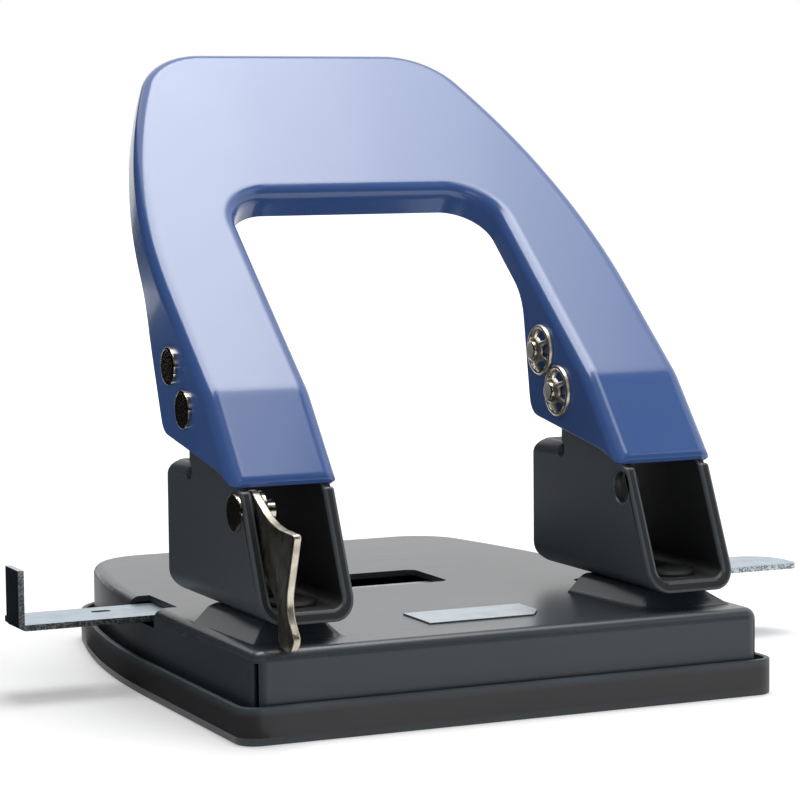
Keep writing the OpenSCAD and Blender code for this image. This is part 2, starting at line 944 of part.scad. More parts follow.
module lock_lever() {
    color([0.66, 0.62, 0.55])
        to_left()
            translate([0, lock_y, lock_z])
                difference() {
                    along_x(lever_in, lever_out)
                        lever_side();
                    bar_x(lever_in - over, lever_out + over, lock_pin_d + 2 * running);
                }
}

module lock_rivet() {
    wall_out = bracket_x + bracket_w / 2;
    color([0.75, 0.74, 0.7])
        to_left()
            translate([0, lock_y, lock_z]) {
                bar_x(wall_out, wall_out + lock_head_h, lock_head_d);
                bar_x(lever_out + lever_gap / 2, wall_out, front_hole_d);
                bar_x(lever_in - lock_stub, wall_out, lock_pin_d);
            }
}

module lock_washer() {
    color([0.7, 0.69, 0.66])
        to_left()
            translate([0, lock_y, lock_z])
                difference() {
                    bar_x(lever_in - running - washer_t, lever_in - running, washer_d);
                    bar_x(lever_in - washer_t - over, lever_in + over, lock_pin_d);
                }
}

module paper_guide() {
    strip = [
        [-guide_left, guide_front], [guide_right, guide_front],
        [guide_right, guide_back], [-guide_left, guide_back]
    ];
    color([0.85, 0.87, 0.9])
    difference() {
        union() {
            translate([0, 0, guide_low])
                linear_extrude(guide_t)
                    rounded(strip, [0, guide_nose_r, guide_tip_r, guide_back_r]);
            along_x(-guide_left, -guide_left + guide_t)
                rounded(
                    [
                        [guide_front, guide_low], [guide_front + guide_tab_w, guide_low],
                        [guide_front + guide_tab_w, guide_low + tab_h], [guide_front, guide_low + tab_h]
                    ],
                    [0, guide_nose_r, 0, 0]
                );
        }
        translate([-guide_left, guide_front + guide_tab_w, guide_low - over])
            translate([-over, 0, 0])
                cube([guide_t + over, guide_w, guide_t + 2 * over]);
        translate([guide_slot_x - guide_left, guide_front + guide_w * guide_slot_share, guide_low - over])
            linear_extrude(guide_t + 2 * over)
                rounded(
                    [
                        [-guide_slot[0] / 2, -guide_slot[1] / 2], [guide_slot[0] / 2, -guide_slot[1] / 2],
                        [guide_slot[0] / 2, guide_slot[1] / 2], [-guide_slot[0] / 2, guide_slot[1] / 2]
                    ],
                    [guide_slot_r, guide_slot_r, guide_slot_r, guide_slot_r]
                );
    }
}

// Bridge that carries the guide under the plate
module guide_strap() {
    side = guide_gap;
    low = guide_low - guide_gap;
    front = guide_front - side;
    back = guide_back + side;
    along_x(-strap_w / 2, strap_w / 2)
        polygon([
            [front - strap_t - strap_foot, plate_under], [front - strap_t - strap_foot, plate_under - strap_t],
            [front - strap_t, plate_under - strap_t], [front - strap_t, low - strap_t],
            [back + strap_t, low - strap_t], [back + strap_t, plate_under - strap_t],
            [back + strap_t + strap_foot, plate_under - strap_t], [back + strap_t + strap_foot, plate_under],
            [back, plate_under], [back, low], [front, low], [front, plate_under]
        ]);
}

module guide_straps() {
    color([0.5, 0.51, 0.53])
        for (s = [-1, 1])
            translate([s * strap_x, 0, 0])
                guide_strap();
}

module label_plate() {
    color([0.85, 0.86, 0.87])
        translate([label_x, label_front, plate_top])
            linear_extrude(label_t)
                polygon([
                    [-label_w / 2, 0], [label_w / 2 - label_clip[0], 0], [label_w / 2, label_clip[1]],
                    [label_w / 2, label_d], [-label_w / 2, label_d]
                ]);
}

base_plate();
chip_tray();
bracket_left();
bracket_right();
bracket_rivets();
punch_left();
punch_right();
return_spring_left();
return_spring_right();
spring_ring_left();
spring_ring_right();
handle();
pivot_pin_left();
pivot_pin_right();
drive_pin_left();
drive_pin_right();
push_nuts();
lock_lever();
lock_rivet();
lock_washer();
paper_guide();
guide_straps();
label_plate();
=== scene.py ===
"""Looks of a desk two-hole punch: finishes, softened sheet edges, turned pins, coils and a plain studio."""

import logging
import math
from collections.abc import Callable, Sequence
from dataclasses import dataclass
from enum import Enum

import bmesh
import bpy
from bpy.types import Material, Mesh, MeshPolygon, Node, NodeSocket, NodeTree, Object, World
from mathutils import Matrix, Vector


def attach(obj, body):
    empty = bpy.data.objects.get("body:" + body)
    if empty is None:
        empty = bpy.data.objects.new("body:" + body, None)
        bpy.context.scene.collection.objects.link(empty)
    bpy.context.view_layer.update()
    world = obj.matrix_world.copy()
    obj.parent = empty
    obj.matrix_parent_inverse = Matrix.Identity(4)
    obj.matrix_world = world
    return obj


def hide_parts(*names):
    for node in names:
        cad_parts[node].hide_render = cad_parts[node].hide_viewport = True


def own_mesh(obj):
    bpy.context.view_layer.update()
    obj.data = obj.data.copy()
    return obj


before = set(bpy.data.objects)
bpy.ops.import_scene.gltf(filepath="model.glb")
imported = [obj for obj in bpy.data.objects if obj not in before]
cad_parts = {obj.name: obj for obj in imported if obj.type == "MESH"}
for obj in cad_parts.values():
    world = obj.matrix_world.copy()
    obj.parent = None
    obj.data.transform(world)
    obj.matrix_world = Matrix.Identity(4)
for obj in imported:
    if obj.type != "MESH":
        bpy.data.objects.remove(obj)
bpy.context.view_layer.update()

MM = 0.001
WELD = 0.002 * MM
# Most of a noise pattern lies between these two values
NOISE_SPAN = (0.3, 0.7)
log = logging.getLogger("two_hole_punch")

Colour = tuple[float, float, float, float]
Point = tuple[float, float]
Materials = dict[str, Material]
Picks = Callable[[MeshPolygon], bool]


class Side(Enum):
    """The two arms of the punch, by the sign of their X."""

    LEFT = -1
    RIGHT = 1


class Facing(Enum):
    """The way a turned piece points: the turn that takes its own Z there."""

    TO_LEFT = (0.0, -math.pi / 2, 0.0)
    TO_RIGHT = (0.0, math.pi / 2, 0.0)


# ---------------------------------------------------------------- small helpers


def linear(code: str) -> Colour:
    """Turns an sRGB hex colour into linear light.

    Args:
        code: Colour such as "#4A66A0".

    Returns:
        Linear red, green, blue and full alpha.
    """
    parts = [int(code[i : i + 2], 16) / 255 for i in (1, 3, 5)]
    red, green, blue = [p / 12.92 if p <= 0.04045 else ((p + 0.055) / 1.055) ** 2.4 for p in parts]
    return (red, green, blue, 1.0)


def per_mm(size: float) -> float:
    """Texture scale for a pattern whose features are this many millimetres apart."""
    return 1.0 / (size * MM)


def add(tree: NodeTree, kind: str, into: dict | None = None, **settings) -> Node:
    """Adds one node with its settings and links.

    Args:
        tree: Tree that gets the node.
        kind: Blender's name for the node.
        into: Input name or number, with a value, or with the socket or node (its first output) that feeds it.
        settings: Properties of the node.

    Returns:
        The new node.
    """
    node = tree.nodes.new(kind)
    for name, value in settings.items():
        setattr(node, name, value)
    for key, value in (into or {}).items():
        if isinstance(value, Node):
            value = value.outputs[0]
        if isinstance(value, NodeSocket):
            tree.links.new(value, node.inputs[key])
        else:
            node.inputs[key].default_value = value
    return node


def blank_tree(owner: Material | World) -> NodeTree:
    """Opens the empty node tree of a material or a world."""
    owner.use_nodes = True
    owner.node_tree.nodes.clear()
    return owner.node_tree


def make_object(name: str, mesh: Mesh) -> Object:
    """Links a mesh into the scene as an object at the origin."""
    obj = bpy.data.objects.new(name, mesh)
    bpy.context.scene.collection.objects.link(obj)
    return obj


def from_points(name: str, points: Sequence, faces: Sequence = ()) -> Object:
    """Object from points in metres with its faces."""
    mesh = bpy.data.meshes.new(name)
    mesh.from_pydata(points, (), faces)
    return make_object(name, mesh)


def ring_faces(first: int, rings: int, size: int) -> list[tuple[int, ...]]:
    """Faces between rings of points that each close on themselves.

    Args:
        first: Number of the first point.
        rings: How many rings there are.
        size: Points in each ring.

    Returns:
        Four point numbers for each face.
    """
    return [
        (a + j, a + (j + 1) % size, a + size + (j + 1) % size, a + size + j)
        for a in range(first, first + (rings - 1) * size, size)
        for j in range(size)
    ]


def flatten(obj: Object) -> Mesh:
    """Turns an object's modifiers into its plain mesh, in place of the one before it."""
    bpy.context.view_layer.update()
    spent = obj.data
    mesh = bpy.data.meshes.new_from_object(obj.evaluated_get(bpy.context.evaluated_depsgraph_get()))
    obj.modifiers.clear()
    obj.data = mesh
    bpy.data.meshes.remove(spent)
    return mesh


def bake_down(obj: Object, smooth: float = 32.0) -> Object:
    """Turns an object's modifiers into a plain mesh with clean outward faces.

    Args:
        obj: Object whose modifiers are done.
        smooth: Edges flatter than this many degrees are shaded smooth.

    Returns:
        The same object, with no modifier left.
    """
    mesh = flatten(obj)
    tool = bmesh.new()
    tool.from_mesh(mesh)
    bmesh.ops.remove_doubles(tool, verts=tool.verts, dist=WELD)
    bmesh.ops.recalc_face_normals(tool, faces=tool.faces)
    tool.to_mesh(mesh)
    tool.free()
    mesh.polygons.foreach_set("use_smooth", [True] * len(mesh.polygons))
    mesh.set_sharp_from_angle(angle=math.radians(smooth))
    # Normals follow the large faces, so flat sheet stays flat up to its rounded edges
    level = obj.modifiers.new("level", "WEIGHTED_NORMAL")
    level.keep_sharp = True
    flatten(obj).name = obj.name
    return obj


def break_edges(tool: bmesh.types.BMesh, edges: Sequence, width: float, steps: int, held: bool = False) -> None:
    """Rounds edges of a mesh.

    Args:
        tool: Mesh being worked on.
        edges: Edges to round.
        width: Width of the rounding, in metres.
        steps: Facets across it.
        held: Whether edges near others keep a narrower rounding.
    """
    bmesh.ops.bevel(
        tool, geom=edges, offset=width, offset_type="OFFSET", segments=steps, profile=0.5,
        affect="EDGES", clamp_overlap=held, miter_outer="ARC",
    )


def settle(
    obj: Object, body: str, slot: str, finish: Material, *nodes: str,
    second: Material | None = None, picks: Picks | None = None,
) -> None:
    """Gives a finished piece its material and body, and hides the solids that it stands for.

    Args:
        obj: Finished piece.
        body: Body that carries it.
        slot: Material slot of the record; not used.
        finish: Its material.
        nodes: Solids that it replaces.
        second: Material of the faces that are picked.
        picks: Tells of a face whether it has the second material.
    """
    obj.data.materials.clear()
    obj.data.materials.append(finish)
    if second and picks:
        obj.data.materials.append(second)
        for face in obj.data.polygons:
            face.material_index = int(picks(face))
    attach(obj, body)
    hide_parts(*nodes)
    log.info("%s: %d faces on %s", obj.name, len(obj.data.polygons), body)


# ---------------------------------------------------------------- finishes


@dataclass(frozen=True)
class Finish:
    """A surface as it was made: name, colour and gloss shared by all finishes."""

    name: str
    colour: str
    roughness: float

    def start(self) -> tuple[Material, NodeTree, Node, NodeSocket]:
        """Opens a material with its shader.

        Returns:
            The material, its tree, its shader and the Object coordinates.
        """
        finish = bpy.data.materials.new(self.name)
        tree = blank_tree(finish)
        shader = add(tree, "ShaderNodeBsdfPrincipled", {"Base Color": linear(self.colour), "Roughness": self.roughness})
        add(tree, "ShaderNodeOutputMaterial", {"Surface": shader})
        place = add(tree, "ShaderNodeTexCoord").outputs["Object"]
        return finish, tree, shader, place

    def feed(
        self, tree: NodeTree, shader: Node, blend: tuple, relief: tuple, gloss: tuple | None = None
    ) -> None:
        """Feeds the shader with two blended colours, a relief and a gloss that varies.

        Args:
            tree: Tree of the material.
            shader: Its shader.
            blend: Pattern, with the colours at its low and high end.
            relief: Pattern, with its strength and its height in metres.
            gloss: Pattern, with the span of it that counts and how far roughness falls and rises over that.
        """
        share, low, high = blend
        colour = add(tree, "ShaderNodeMix", {0: share, 6: low, 7: high}, data_type="RGBA")
        tree.links.new(colour.outputs[2], shader.inputs["Base Color"])
        pattern, strength, height = relief
        bump = add(tree, "ShaderNodeBump", {"Height": pattern, "Strength": strength, "Distance": height})
        tree.links.new(bump.outputs[0], shader.inputs["Normal"])
        if gloss:
            pattern, start, end, fall, rise = gloss
            low, high = self.roughness - fall, self.roughness + rise
            rough = add(tree, "ShaderNodeMapRange", {"Value": pattern, 1: start, 2: end, 3: low, 4: high})
            tree.links.new(rough.outputs[0], shader.inputs["Roughness"])


@dataclass(frozen=True)
class PowderCoat(Finish):
    """Blue powder coat on pressed steel: melted powder leaves a glossy skin with a faint orange peel and a few nibs."""

    pale: str
    peel: float = 1.7
    cloud: float = 38.0
    nib: str = "#6F8BC4"
    nib_cell: float = 13.0
    nib_half: float = 0.028
    nib_share: float = 0.16
    gloss_cloud: float = 9.0
    gloss_spread: tuple[float, float] = (0.03, 0.04)
    relief: float = 0.1
    height: float = 0.03 * MM
    ior: float = 1.54
    coat: float = 0.35
    coat_roughness: float = 0.09

    def make(self) -> Material:
        """Builds the material: cloudy blue, orange peel in the gloss, sparse pale dust nibs."""
        finish, tree, shader, place = self.start()
        cloud = add(tree, "ShaderNodeTexNoise", {"Vector": place, "Scale": per_mm(self.cloud), "Detail": 3.0})
        tint = add(tree, "ShaderNodeMix", {0: cloud, 6: linear(self.colour), 7: linear(self.pale)}, data_type="RGBA")
        # Dust caught in the coat: one cell in six keeps a nib some 0.7 mm wide
        cells = add(tree, "ShaderNodeTexVoronoi", {"Vector": place, "Scale": per_mm(self.nib_cell)})
        near = add(tree, "ShaderNodeMath", {0: cells, 1: self.nib_half}, operation="LESS_THAN")
        chosen = add(tree, "ShaderNodeSeparateColor", {"Color": cells.outputs["Color"]})
        rare = add(tree, "ShaderNodeMath", {0: chosen, 1: self.nib_share}, operation="LESS_THAN")
        nib = add(tree, "ShaderNodeMath", {0: near, 1: rare}, operation="MULTIPLY")
        gloss = add(tree, "ShaderNodeTexNoise", {"Vector": place, "Scale": per_mm(self.gloss_cloud), "Detail": 4.0})
        # Real peel is a few thousandths of a millimetre high; it is drawn a little higher to show
        peel = add(tree, "ShaderNodeTexNoise", {"Vector": place, "Scale": per_mm(self.peel), "Detail": 1.0})
        raised = add(tree, "ShaderNodeMath", {0: peel, 1: nib}, operation="ADD")
        self.feed(
            tree, shader, (nib, tint.outputs[2], linear(self.nib)), (raised, self.relief, self.height),
            (gloss, 0.0, 1.0, *self.gloss_spread),
        )
        shader.inputs["IOR"].default_value = self.ior
        shader.inputs["Coat Weight"].default_value = self.coat
        shader.inputs["Coat Roughness"].default_value = self.coat_roughness
        return finish


@dataclass(frozen=True)
class SatinPaint(Finish):
    """Dark baked paint on steel sheet: satin, with a fine grain, slight clouds and light rubbed streaks."""

    pale: str
    rub: float = 0.03
    relief: float = 0.08
    grain: float = 0.45
    cloud: float = 24.0
    streak: float = 0.9
    stretch: tuple[float, float, float] = (0.03, 1.0, 1.0)
    height: float = 0.03 * MM

    def make(self) -> Material:
        """Builds the material: clouded grey, fine grain in the relief, rubbed streaks along X in the gloss."""
        finish, tree, shader, place = self.start()
        cloud = add(tree, "ShaderNodeTexNoise", {"Vector": place, "Scale": per_mm(self.cloud), "Detail": 5.0})
        # Rubbing from paper and hands: streaks some 30 mm long and under a millimetre wide
        along = add(tree, "ShaderNodeMapping", {"Vector": place, "Scale": self.stretch})
        streak = add(tree, "ShaderNodeTexNoise", {"Vector": along, "Scale": per_mm(self.streak), "Detail": 3.0})
        # Paint grain is nearer a tenth of a millimetre; drawn coarser so that it shows
        grain = add(tree, "ShaderNodeTexNoise", {"Vector": place, "Scale": per_mm(self.grain), "Detail": 2.0})
        self.feed(
            tree, shader, (cloud, linear(self.colour), linear(self.pale)), (grain, self.relief, self.height),
            (streak, *NOISE_SPAN, self.rub, self.rub),
        )
        return finish


@dataclass(frozen=True)
class MouldedPlastic(Finish):
    """Moulded polypropylene, dark and a little waxy: flow marks from the mould and rubbed, bluish edges."""

    worn: str
    low: float
    high: float
    foot_wear: float = 1.6 * MM
    rim_wear: float = 1.8 * MM
    wear: float = 1.5
    flow: float = 5.0
    stretch: tuple[float, float, float] = (0.25, 0.25, 1.0)
    grain: float = 0.6
    gloss_spread: tuple[float, float] = (0.07, 0.09)
    relief: float = 0.15
    height: float = 0.04 * MM

    def make(self) -> Material:
        """Builds the material: brownish middle, bluish rubbed band at foot and rim, flow marks and grain."""
        finish, tree, shader, place = self.start()
        parts = add(tree, "ShaderNodeSeparateXYZ", {"Vector": place})
        along = add(tree, "ShaderNodeMapping", {"Vector": place, "Scale": self.stretch})
        flow = add(tree, "ShaderNodeTexNoise", {"Vector": along, "Scale": per_mm(self.flow), "Detail": 4.0})
        # Wear reaches about a millimetre and a half in from the foot and from the rim
        bands = ((self.low, self.low + self.foot_wear, 1.0), (self.high - self.rim_wear, self.high, 0.0))
        foot, rim = (
            add(tree, "ShaderNodeMapRange", {"Value": parts.outputs["Z"], 1: start, 2: end, 3: first, 4: 1.0 - first})
            for start, end, first in bands
        )
        both = add(tree, "ShaderNodeMath", {0: foot, 1: rim}, operation="MAXIMUM")
        share = add(tree, "ShaderNodeMath", {0: both, 1: flow}, operation="MULTIPLY")
        wide = add(
            tree, "ShaderNodeMath", {0: share, 1: self.wear, 2: 0.0}, operation="MULTIPLY_ADD", use_clamp=True
        )
        grain = add(tree, "ShaderNodeTexNoise", {"Vector": place, "Scale": per_mm(self.grain), "Detail": 2.0})
        mixed = add(tree, "ShaderNodeMath", {0: flow, 1: 2.0, 2: grain}, operation="MULTIPLY_ADD")
        self.feed(
            tree, shader, (wide, linear(self.colour), linear(self.worn)), (mixed, self.relief, self.height),
            (flow, 0.0, 1.0, *self.gloss_spread),
        )
        return finish


@dataclass(frozen=True)
class PlatedMetal(Finish):
    """Plated steel: a bright metal skin over the marks of the tool, drawn along one way and pitted a little."""

    dark: str
    lines: tuple[float, float, float] = (0.08, 1.0, 1.0)
    line_gap: float = 0.35
    mark: float = 0.06
    relief: float = 0.12
    height: float = 0.02 * MM
    metal: float = 1.0
    cloud: float = 4.0
    dull: tuple[float, float] = (0.42, 0.72)

    def make(self) -> Material:
        """Builds the material: metal tint with dull clouds and fine tool lines in gloss and relief."""
        finish, tree, shader, place = self.start()
        cloud = add(tree, "ShaderNodeTexNoise", {"Vector": place, "Scale": per_mm(self.cloud), "Detail": 4.0})
        dull = add(tree, "ShaderNodeMapRange", {"Value": cloud, 1: self.dull[0], 2: self.dull[1]})
        shader.inputs["Metallic"].default_value = self.metal
        along = add(tree, "ShaderNodeMapping", {"Vector": place, "Scale": self.lines})
        line = add(tree, "ShaderNodeTexNoise", {"Vector": along, "Scale": per_mm(self.line_gap), "Detail": 3.0})
        self.feed(
            tree, shader, (dull, linear(self.colour), linear(self.dark)), (line, self.relief, self.height),
            (line, *NOISE_SPAN, self.mark, self.mark),
        )
        return finish


@dataclass(frozen=True)
class ShearedEdge(Finish):
    """Edge of a plated strip where it was sheared: half bright cut, half torn and speckled."""

    torn: str
    speck: float = 0.35
    cut: tuple[float, float] = (0.44, 0.58)
    relief: float = 0.25
    height: float = 0.08 * MM

    def make(self) -> Material:
        """Builds the material: speckled bright and dark metal with a rough torn relief."""
        finish, tree, shader, place = self.start()
        shader.inputs["Metallic"].default_value = 1.0
        speck = add(tree, "ShaderNodeTexNoise", {"Vector": place, "Scale": per_mm(self.speck), "Detail": 3.0})
        cut = add(tree, "ShaderNodeMapRange", {"Value": speck, 1: self.cut[0], 2: self.cut[1]})
        self.feed(tree, shader, (cut, linear(self.torn), linear(self.colour)), (speck, self.relief, self.height))
        return finish


@dataclass(frozen=True)
class Finishes:
    """Every finish of the punch."""

    # Melted powder: a deep, even blue whose gloss is a little wavy
    handle: PowderCoat = PowderCoat("blue_powder_coat_on_steel", "#4363A1", 0.2, pale="#4969A8")
    # Baked paint: dark grey that mirrors the pale surround softly on the level top
    plate: SatinPaint = SatinPaint(
        "grey_baked_paint_on_plate", "#3A4045", 0.26, pale="#41474D", rub=0.01, relief=0.01
    )
    # The same paint where it ran thin: the mirroring is blurred away
    plate_side: SatinPaint = SatinPaint(
        "thinner_grey_paint_on_folded_sides", "#3A4045", 0.38, pale="#41474D", rub=0.02, relief=0.03
    )
    # The same paint on the brackets, a shade lighter and satin
    bracket: SatinPaint = SatinPaint(
        "grey_baked_paint_on_brackets", "#484E54", 0.38, pale="#4F565B", rub=0.02, relief=0.03
    )
    # Painted shade: a near-black, dull paint on the inside of the brackets, where shade falls
    channel: SatinPaint = SatinPaint("thin_dark_paint_inside_brackets", "#191B1D", 0.5, pale="#1E2023")
    # Moulded plastic: waxy dark brown-grey with bluish rubbed edges
    tray: MouldedPlastic = MouldedPlastic(
        "dark_moulded_polypropylene", "#323134", 0.45, worn="#4A555C", low=0.0, high=7.0 * MM
    )
    # Bright nickel: warm, mirror-like, black where it faces the dark
    nickel: PlatedMetal = PlatedMetal("bright_nickel_plate", "#D3CBBB", 0.17, dark="#A89F8E")
    # Nickel over rolled strip: the mirroring is drawn out along the lever
    lever: PlatedMetal = PlatedMetal(
        "satin_nickel_plate", "#DAD2C1", 0.33, dark="#A59C8A", lines=(1.0, 1.0, 0.06), line_gap=0.5, mark=0.09
    )
    # Nickel over punched spring steel: bright, with blurred glints
    nut: PlatedMetal = PlatedMetal("bright_nickel_on_spring_steel", "#E6DECF", 0.36, dark="#C8BFAE")
    # Sheared and oxidised pin ends: flat warm grey
    stub: PlatedMetal = PlatedMetal(
        "oxidised_cut_pin_end", "#B4AFA4", 0.5, dark="#9C978D", relief=0.05, metal=0.25
    )
    # Zinc plate: pale, cold and softly mirroring
    zinc: PlatedMetal = PlatedMetal("bright_zinc_plate", "#B2BFC9", 0.36, dark="#A2AFBA")
    # Sheared zinc: glinting specks on grey
    sheared: ShearedEdge = ShearedEdge("sheared_zinc_edge", "#D5DCE0", 0.42, torn="#7E868C")
    # Ground steel: rings of fine marks round the rod
    tool: PlatedMetal = PlatedMetal(
        "ground_tool_steel", "#AEB0B3", 0.3, dark="#8E9195", lines=(0.4, 0.4, 3.0), line_gap=0.5
    )
    # Drawn wire: dark grey metal with small bright lines
    wire: PlatedMetal = PlatedMetal("drawn_spring_wire", "#8F9296", 0.28, dark="#6E7175", line_gap=0.25)
    # Bare foil: silvery and even, brushed one way
    foil: PlatedMetal = PlatedMetal(
        "bare_aluminium_foil", "#BCC5CB", 0.42, dark="#AFB8BE", lines=(1.0, 0.06, 1.0), line_gap=0.3
    )


# ---------------------------------------------------------------- softened sheet pieces


@dataclass
class SheetPiece:
    """A solid of the frame with its sharp edges broken, as tumbling and paint leave them.

    Attributes:
        node: Solid that it follows and replaces.
        body: Body that carries it.
        slot: Material slot of the record.
        edge: Width of the broken edge, in metres.
        sharp: Edges sharper than this many degrees are broken.
        smooth: Edges flatter than this many degrees are shaded smooth.
        steps: Facets across a broken edge.
        held: Whether edges near others keep a narrower break.
        level: Faces within this many degrees of each other are one.
        spare: Tells of a place whether its edges stay as they are.
    """

    node: str
    body: str
    slot: str
    edge: float
    sharp: float = 40.0
    smooth: float = 32.0
    steps: int = 2
    held: bool = True
    level: float = 0.4
    spare: Callable[[Vector], bool] | None = None

    def build(self, shape: Callable[[bmesh.types.BMesh], None] | None = None) -> Object:
        """Copies the solid, merges its loose triangles, shapes it and breaks its edges.

        Args:
            shape: Further work on the merged mesh, before the edges are broken.

        Returns:
            The softened piece.
        """
        mesh = bpy.data.meshes.new(self.node + "_sheet")
        tool = bmesh.new()
        tool.from_mesh(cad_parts[self.node].data)
        bmesh.ops.remove_doubles(tool, verts=tool.verts, dist=WELD)
        bmesh.ops.dissolve_limit(tool, angle_limit=math.radians(self.level), verts=tool.verts, edges=tool.edges)
        if shape:
            shape(tool)
        limit = math.radians(self.sharp)
        edges = [e for e in tool.edges if len(e.link_faces) == 2 and e.calc_face_angle(0.0) > limit]
        if self.spare:
            edges = [e for e in edges if not any(self.spare(v.co) for v in e.verts)]
        break_edges(tool, edges, self.edge, self.steps, self.held)
        tool.to_mesh(mesh)
        tool.free()
        return bake_down(make_object(self.node + "_piece", mesh), self.smooth)

    def dress(
        self, finish: Material, shape: Callable | None = None,
        second: Material | None = None, picks: Picks | None = None,
    ) -> None:
        """Builds the piece and gives it its finish and its body.

        Args:
            finish: Material of the piece.
            shape: Further work on the merged mesh.
            second: Material of the faces that are picked.
            picks: Tells of a face whether it has the second material.
        """
        settle(self.build(shape), self.body, self.slot, finish, self.node, second=second, picks=picks)


# ---------------------------------------------------------------- node trees for turned, coiled and starred pieces


class NodeTool:
    """A Geometry Nodes tree with named inputs, run once on an object and then taken off."""

    def __init__(self, name: str, inputs: dict[str, tuple[str, object]]) -> None:
        """Opens the tree.

        Args:
            name: Name of the tree.
            inputs: Name of each input, with its socket kind and its first value.
        """
        self.tree = bpy.data.node_groups.new(name, "GeometryNodeTree")
        face = self.tree.interface
        face.new_socket("Geometry", in_out="OUTPUT", socket_type="NodeSocketGeometry")
        face.new_socket("Geometry", in_out="INPUT", socket_type="NodeSocketGeometry")
        self.keys: dict[str, str] = {}
        for label, (kind, value) in inputs.items():
            socket = face.new_socket(label, in_out="INPUT", socket_type="NodeSocket" + kind)
            if value is not None:
                socket.default_value = value
            self.keys[label] = socket.identifier
        self.given = self.add("NodeGroupInput").outputs

    def add(self, kind: str, into: dict | None = None, **settings) -> Node:
        """Adds one node to this tree."""
        return add(self.tree, kind, into, **settings)

    def close(self, shape: Node) -> None:
        """Ends the tree: instances made real, then the material set."""
        real = self.add("GeometryNodeRealizeInstances", {"Geometry": shape})
        done = self.add("GeometryNodeSetMaterial", {"Geometry": real, "Material": self.given["Material"]})
        self.add("NodeGroupOutput", {"Geometry": done})

    def run(self, obj: Object, **values) -> Object:
        """Runs the tree on an object and leaves a plain mesh.

        Args:
            obj: Object whose mesh goes in.
            values: Inputs by name, with _ for a space.

        Returns:
            The same object with its new mesh.
        """
        step = obj.modifiers.new(self.tree.name, "NODES")
        step.node_group = self.tree
        for label, value in values.items():
            step[self.keys[label.replace("_", " ")]] = value
        return bake_down(obj)


def turned_tool() -> NodeTool:
    """Makes the tree that turns a side outline round its axis and sets it out in a grid.

    Returns:
        Tool whose input mesh is the outline: points with radius in X and height in Z.
    """
    tool = NodeTool(
        "turned_pieces",
        {
            "Segments": ("Int", 40),
            "Columns": ("Int", 1),
            "Rows": ("Int", 1),
            "Column gap": ("Float", 0.0),
            "Row gap": ("Float", 0.0),
            "Centre": ("Vector", (0.0, 0.0, 0.0)),
            "Turn": ("Rotation", (0.0, 0.0, 0.0)),
            "Material": ("Material", None),
        },
    )
    given = tool.given
    count = tool.add("GeometryNodeAttributeDomainSize", {"Geometry": given["Geometry"]}).outputs["Point Count"]
    rings = tool.add("FunctionNodeIntegerMath", {0: given["Segments"], 1: 1}, operation="ADD")
    skin = tool.add(
        "GeometryNodeMeshGrid", {"Vertices X": rings, "Vertices Y": count, "Size X": 1.0, "Size Y": 1.0}
    )
    index = tool.add("GeometryNodeInputIndex")
    step = tool.add("FunctionNodeIntegerMath", {0: index, 1: count}, operation="MODULO")
    ring = tool.add("FunctionNodeIntegerMath", {0: index, 1: count}, operation="DIVIDE_FLOOR")
    outline = tool.add(
        "GeometryNodeSampleIndex",
        {"Geometry": given["Geometry"], "Value": tool.add("GeometryNodeInputPosition"), "Index": step},
        data_type="FLOAT_VECTOR",
    )
    parts = tool.add("ShaderNodeSeparateXYZ", {"Vector": outline})
    share = tool.add("ShaderNodeMath", {0: ring, 1: given["Segments"]}, operation="DIVIDE")
    angle = tool.add("ShaderNodeMath", {0: share, 1: math.tau}, operation="MULTIPLY")
    spot = {"Z": parts.outputs["Z"]}
    for axis, wave in (("X", "COSINE"), ("Y", "SINE")):
        lean = tool.add("ShaderNodeMath", {0: angle}, operation=wave)
        spot[axis] = tool.add("ShaderNodeMath", {0: parts.outputs["X"], 1: lean}, operation="MULTIPLY")
    point = tool.add("ShaderNodeCombineXYZ", spot)
    turned = tool.add("GeometryNodeSetPosition", {"Geometry": skin, "Position": point})
    closed = tool.add("GeometryNodeMergeByDistance", {"Geometry": turned, "Distance": 0.001 * MM})
    spread = {"Vertices X": given["Columns"], "Vertices Y": given["Rows"]}
    for axis, number, gap in (("X", "Columns", "Column gap"), ("Y", "Rows", "Row gap")):
        fewer = tool.add("FunctionNodeIntegerMath", {0: given[number], 1: 1}, operation="SUBTRACT")
        spread[f"Size {axis}"] = tool.add("ShaderNodeMath", {0: fewer, 1: given[gap]}, operation="MULTIPLY")
    spots = tool.add("GeometryNodeMeshGrid", spread)
    moved = tool.add("GeometryNodeTransform", {"Geometry": spots, "Translation": given["Centre"]})
    copies = tool.add(
        "GeometryNodeInstanceOnPoints", {"Points": moved, "Instance": closed, "Rotation": given["Turn"]}
    )
    tool.close(copies)
    return tool


def turned_piece(tool: NodeTool, name: str, outline: Sequence[Point], **values) -> Object:
    """Turns one piece, or a set of pieces alike.

    Args:
        tool: Tree that turns outlines.
        name: Name of the piece.
        outline: Radius and height of each point of its side, in millimetres.
        values: Inputs of the tree.

    Returns:
        The turned piece.
    """
    return tool.run(from_points(name, [(r * MM, 0.0, z * MM) for r, z in outline]), **values)


